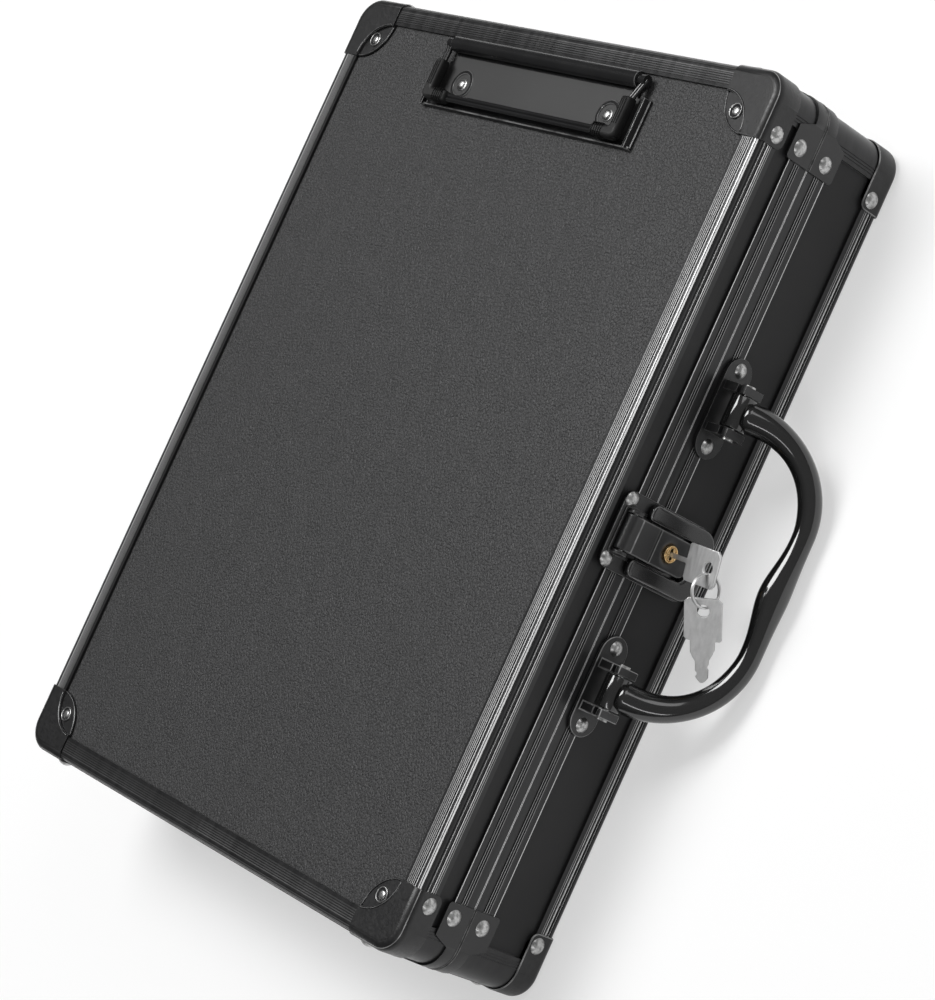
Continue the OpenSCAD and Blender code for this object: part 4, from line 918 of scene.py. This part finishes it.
def clip_domes():
    """Small domed heads in the clip plate's embossed rings."""
    bm = bmesh.new()
    apart, from_hinge = 90, 15.5
    z = corners("clip_rivets")[0].z
    dome = [(2.7, 0.0), (2.65, 0.2), (2.3, 0.3), (2.1, 0.35), (2.0, 0.7), (1.6, 1.05), (1.0, 1.24)]
    dome += [(0.4, 1.3), (0.05, 1.3)]
    for side in (-1, 1):
        revolve(bm, dome, place((CLIP_X + side * apart / 2, CLIP_Y - from_hinge, z)))
    new_piece("clip_domes", bm, "nickel", "lid", "clip_rivets")


# ---------------------------------------------------------------- CAD shapes with rounded edges

SAME_POINT = 2e-6
FLAT_FROM = 9e-6  # faces of this area and more, in square metres, are shaded flat


def rounded(node, width, material=None):
    """A CAD node's shape again with its edges rounded and marked for a lighter colour, wear and a painted
    highlight, standing for it.
    """
    source = nodes[node]
    bm = bmesh.new()
    bm.from_mesh(source.data)
    bmesh.ops.remove_doubles(bm, verts=bm.verts[:], dist=SAME_POINT)
    bmesh.ops.dissolve_degenerate(bm, edges=bm.edges[:], dist=SAME_POINT)
    bmesh.ops.dissolve_limit(bm, angle_limit=math.radians(1.0), verts=bm.verts[:], edges=bm.edges[:])
    body = body_of(source)[0]
    piece = new_piece(node + "_rounded", bm, material or SLOTS[node], body, node)
    piece.data.materials.append(piece.data.materials[0])
    bevel = piece.modifiers.new("bevel", "BEVEL")
    bevel.width = width * MM
    bevel.segments = 2
    bevel.limit_method = "ANGLE"
    bevel.angle_limit = math.radians(35)
    bevel.material = 1  # marks the bevel's own faces
    bpy.context.view_layer.update()
    mesh = bpy.data.meshes.new_from_object(piece.evaluated_get(bpy.context.evaluated_depsgraph_get()))
    piece.modifiers.clear()
    piece.data = mesh
    # the bevel's faces carry the mark for edge wear and a painted highlight
    wear_and_highlight = mesh.attributes.new("wear_and_highlight", "FLOAT", "FACE")
    wear_and_highlight.data.foreach_set("value", [float(face.material_index) for face in mesh.polygons])
    for face in mesh.polygons:
        face.material_index = 0
        face.use_smooth = face.area < FLAT_FROM
    mesh.materials.pop()


# ---------------------------------------------------------------- stage, lights, camera


def stage():
    """A white floor that glows in part for the camera and in reflections, and keeps the shadow."""
    half_side, glowing = 8.0, 0.5
    bm = bmesh.new()
    bmesh.ops.create_grid(bm, x_segments=2, y_segments=2, size=half_side)
    mesh = bpy.data.meshes.new("floor")
    bm.to_mesh(mesh)
    bm.free()
    floor = bpy.data.objects.new("floor", mesh)
    scene.collection.objects.link(floor)
    m = Mat("floor_white", Roughness=0.7, Specular_IOR_Level=0.2)
    m.set(Base_Color=m.ramp(m.noise(2.0), (0.0, 0.93), (1.0, 0.95)))
    ray = m.node("LightPath").outputs
    seen = m.math("MAXIMUM", ray["Is Camera Ray"], ray["Is Glossy Ray"])
    seen = m.math("MAXIMUM", seen, ray["Is Transmission Ray"])
    glow = m.node("Emission", {"Color": grey(1.0), "Strength": 1.0})
    share = m.math("MULTIPLY", seen, glowing)
    both = m.node("MixShader", {0: share, 1: m.shader.outputs[0], 2: glow.outputs[0]})
    m.put(m.out.inputs[0], both.outputs[0])
    mesh.materials.append(m.made)


def studio_world():
    """A dim grey surround, brighter towards one side."""
    world = bpy.data.worlds.new("studio")
    scene.world = world
    world.use_nodes = True
    tree = Nodes(world.node_tree)
    bright_side = (0.75, 0.1, 0.66)
    towards = tree.node("TexCoord").outputs["Generated"]
    facing = tree.node("VectorMath", {0: towards, 1: bright_side}, operation="DOT_PRODUCT")
    background = world.node_tree.nodes["Background"]
    tree.put(background.inputs["Strength"], tree.span(facing.outputs["Value"], 0.1, 0.32, 0.1, 0.9))
    tree.put(background.inputs["Color"], grey(1.0))


def area_light(name, at, to, watts, width, height):
    light = bpy.data.lights.new(name, "AREA")
    light.shape = "RECTANGLE"
    light.energy = watts
    light.size, light.size_y = width, height
    lamp = bpy.data.objects.new(name, light)
    scene.collection.objects.link(lamp)
    lamp.location = at
    lamp.rotation_euler = (Vector(to) - Vector(at)).to_track_quat("-Z", "Y").to_euler()


def camera():
    """The photograph's own view, in metres and degrees, from a fit to the case's corners in it."""
    at = (0.89067, -0.06569, 0.7790)
    azimuth, elevation, roll = -3.71985, 40.50271, -63.21466
    focal_pixels, photo_height, sensor = 2953.0, 1000.0, 36.0
    data = bpy.data.cameras.new("camera")
    data.sensor_fit = "VERTICAL"
    data.sensor_height = data.sensor_width = sensor
    data.lens = sensor * focal_pixels / photo_height
    data.clip_end = 60.0
    cam = bpy.data.objects.new("camera", data)
    backwards = pointing(azimuth, elevation)
    right = twisted(backwards, roll)
    cam.matrix_world = axes(at, right, backwards.cross(right))
    scene.collection.objects.link(cam)
    scene.camera = cam


# ---------------------------------------------------------------- the box

dress_nodes()
lock_key()
spare_key()
catch_plate()
bezel()
Hasp().make()
clip_sleeves()
clip_domes()
handle()
eyelets()
lens_beads()
brace_highlights()
lock_face()

for where in ("lid", "back"):
    for side in ("latch", "hinge"):
        for end in ("clip", "foot"):
            rounded(f"{where}_cap_{side}_{end}", 0.4, "cap_steel")
for node in ("lid_braces", "base_braces", "handle_bracket_clip", "handle_bracket_foot"):
    rounded(node, 0.3)
rounded("clip_base", 0.3, "gloss_black_plate")
rounded("hinge_leaf_lid", 0.3)
rounded("hinge_leaf_base", 0.3)

stage()
studio_world()
area_light("key", (-0.55, 0.6, 2.0), (0, 0, 0.03), 44.0, 1.3, 0.9)
area_light("fill", (1.2, 1.5, 1.4), (0.1, 0, 0.03), 6.0, 1.0, 1.0)
area_light("strip", (1.2, -0.9, 0.9), (0.1, 0, 0.03), 3.0, 0.12, 1.2)
camera()
scene.view_settings.view_transform = "Standard"
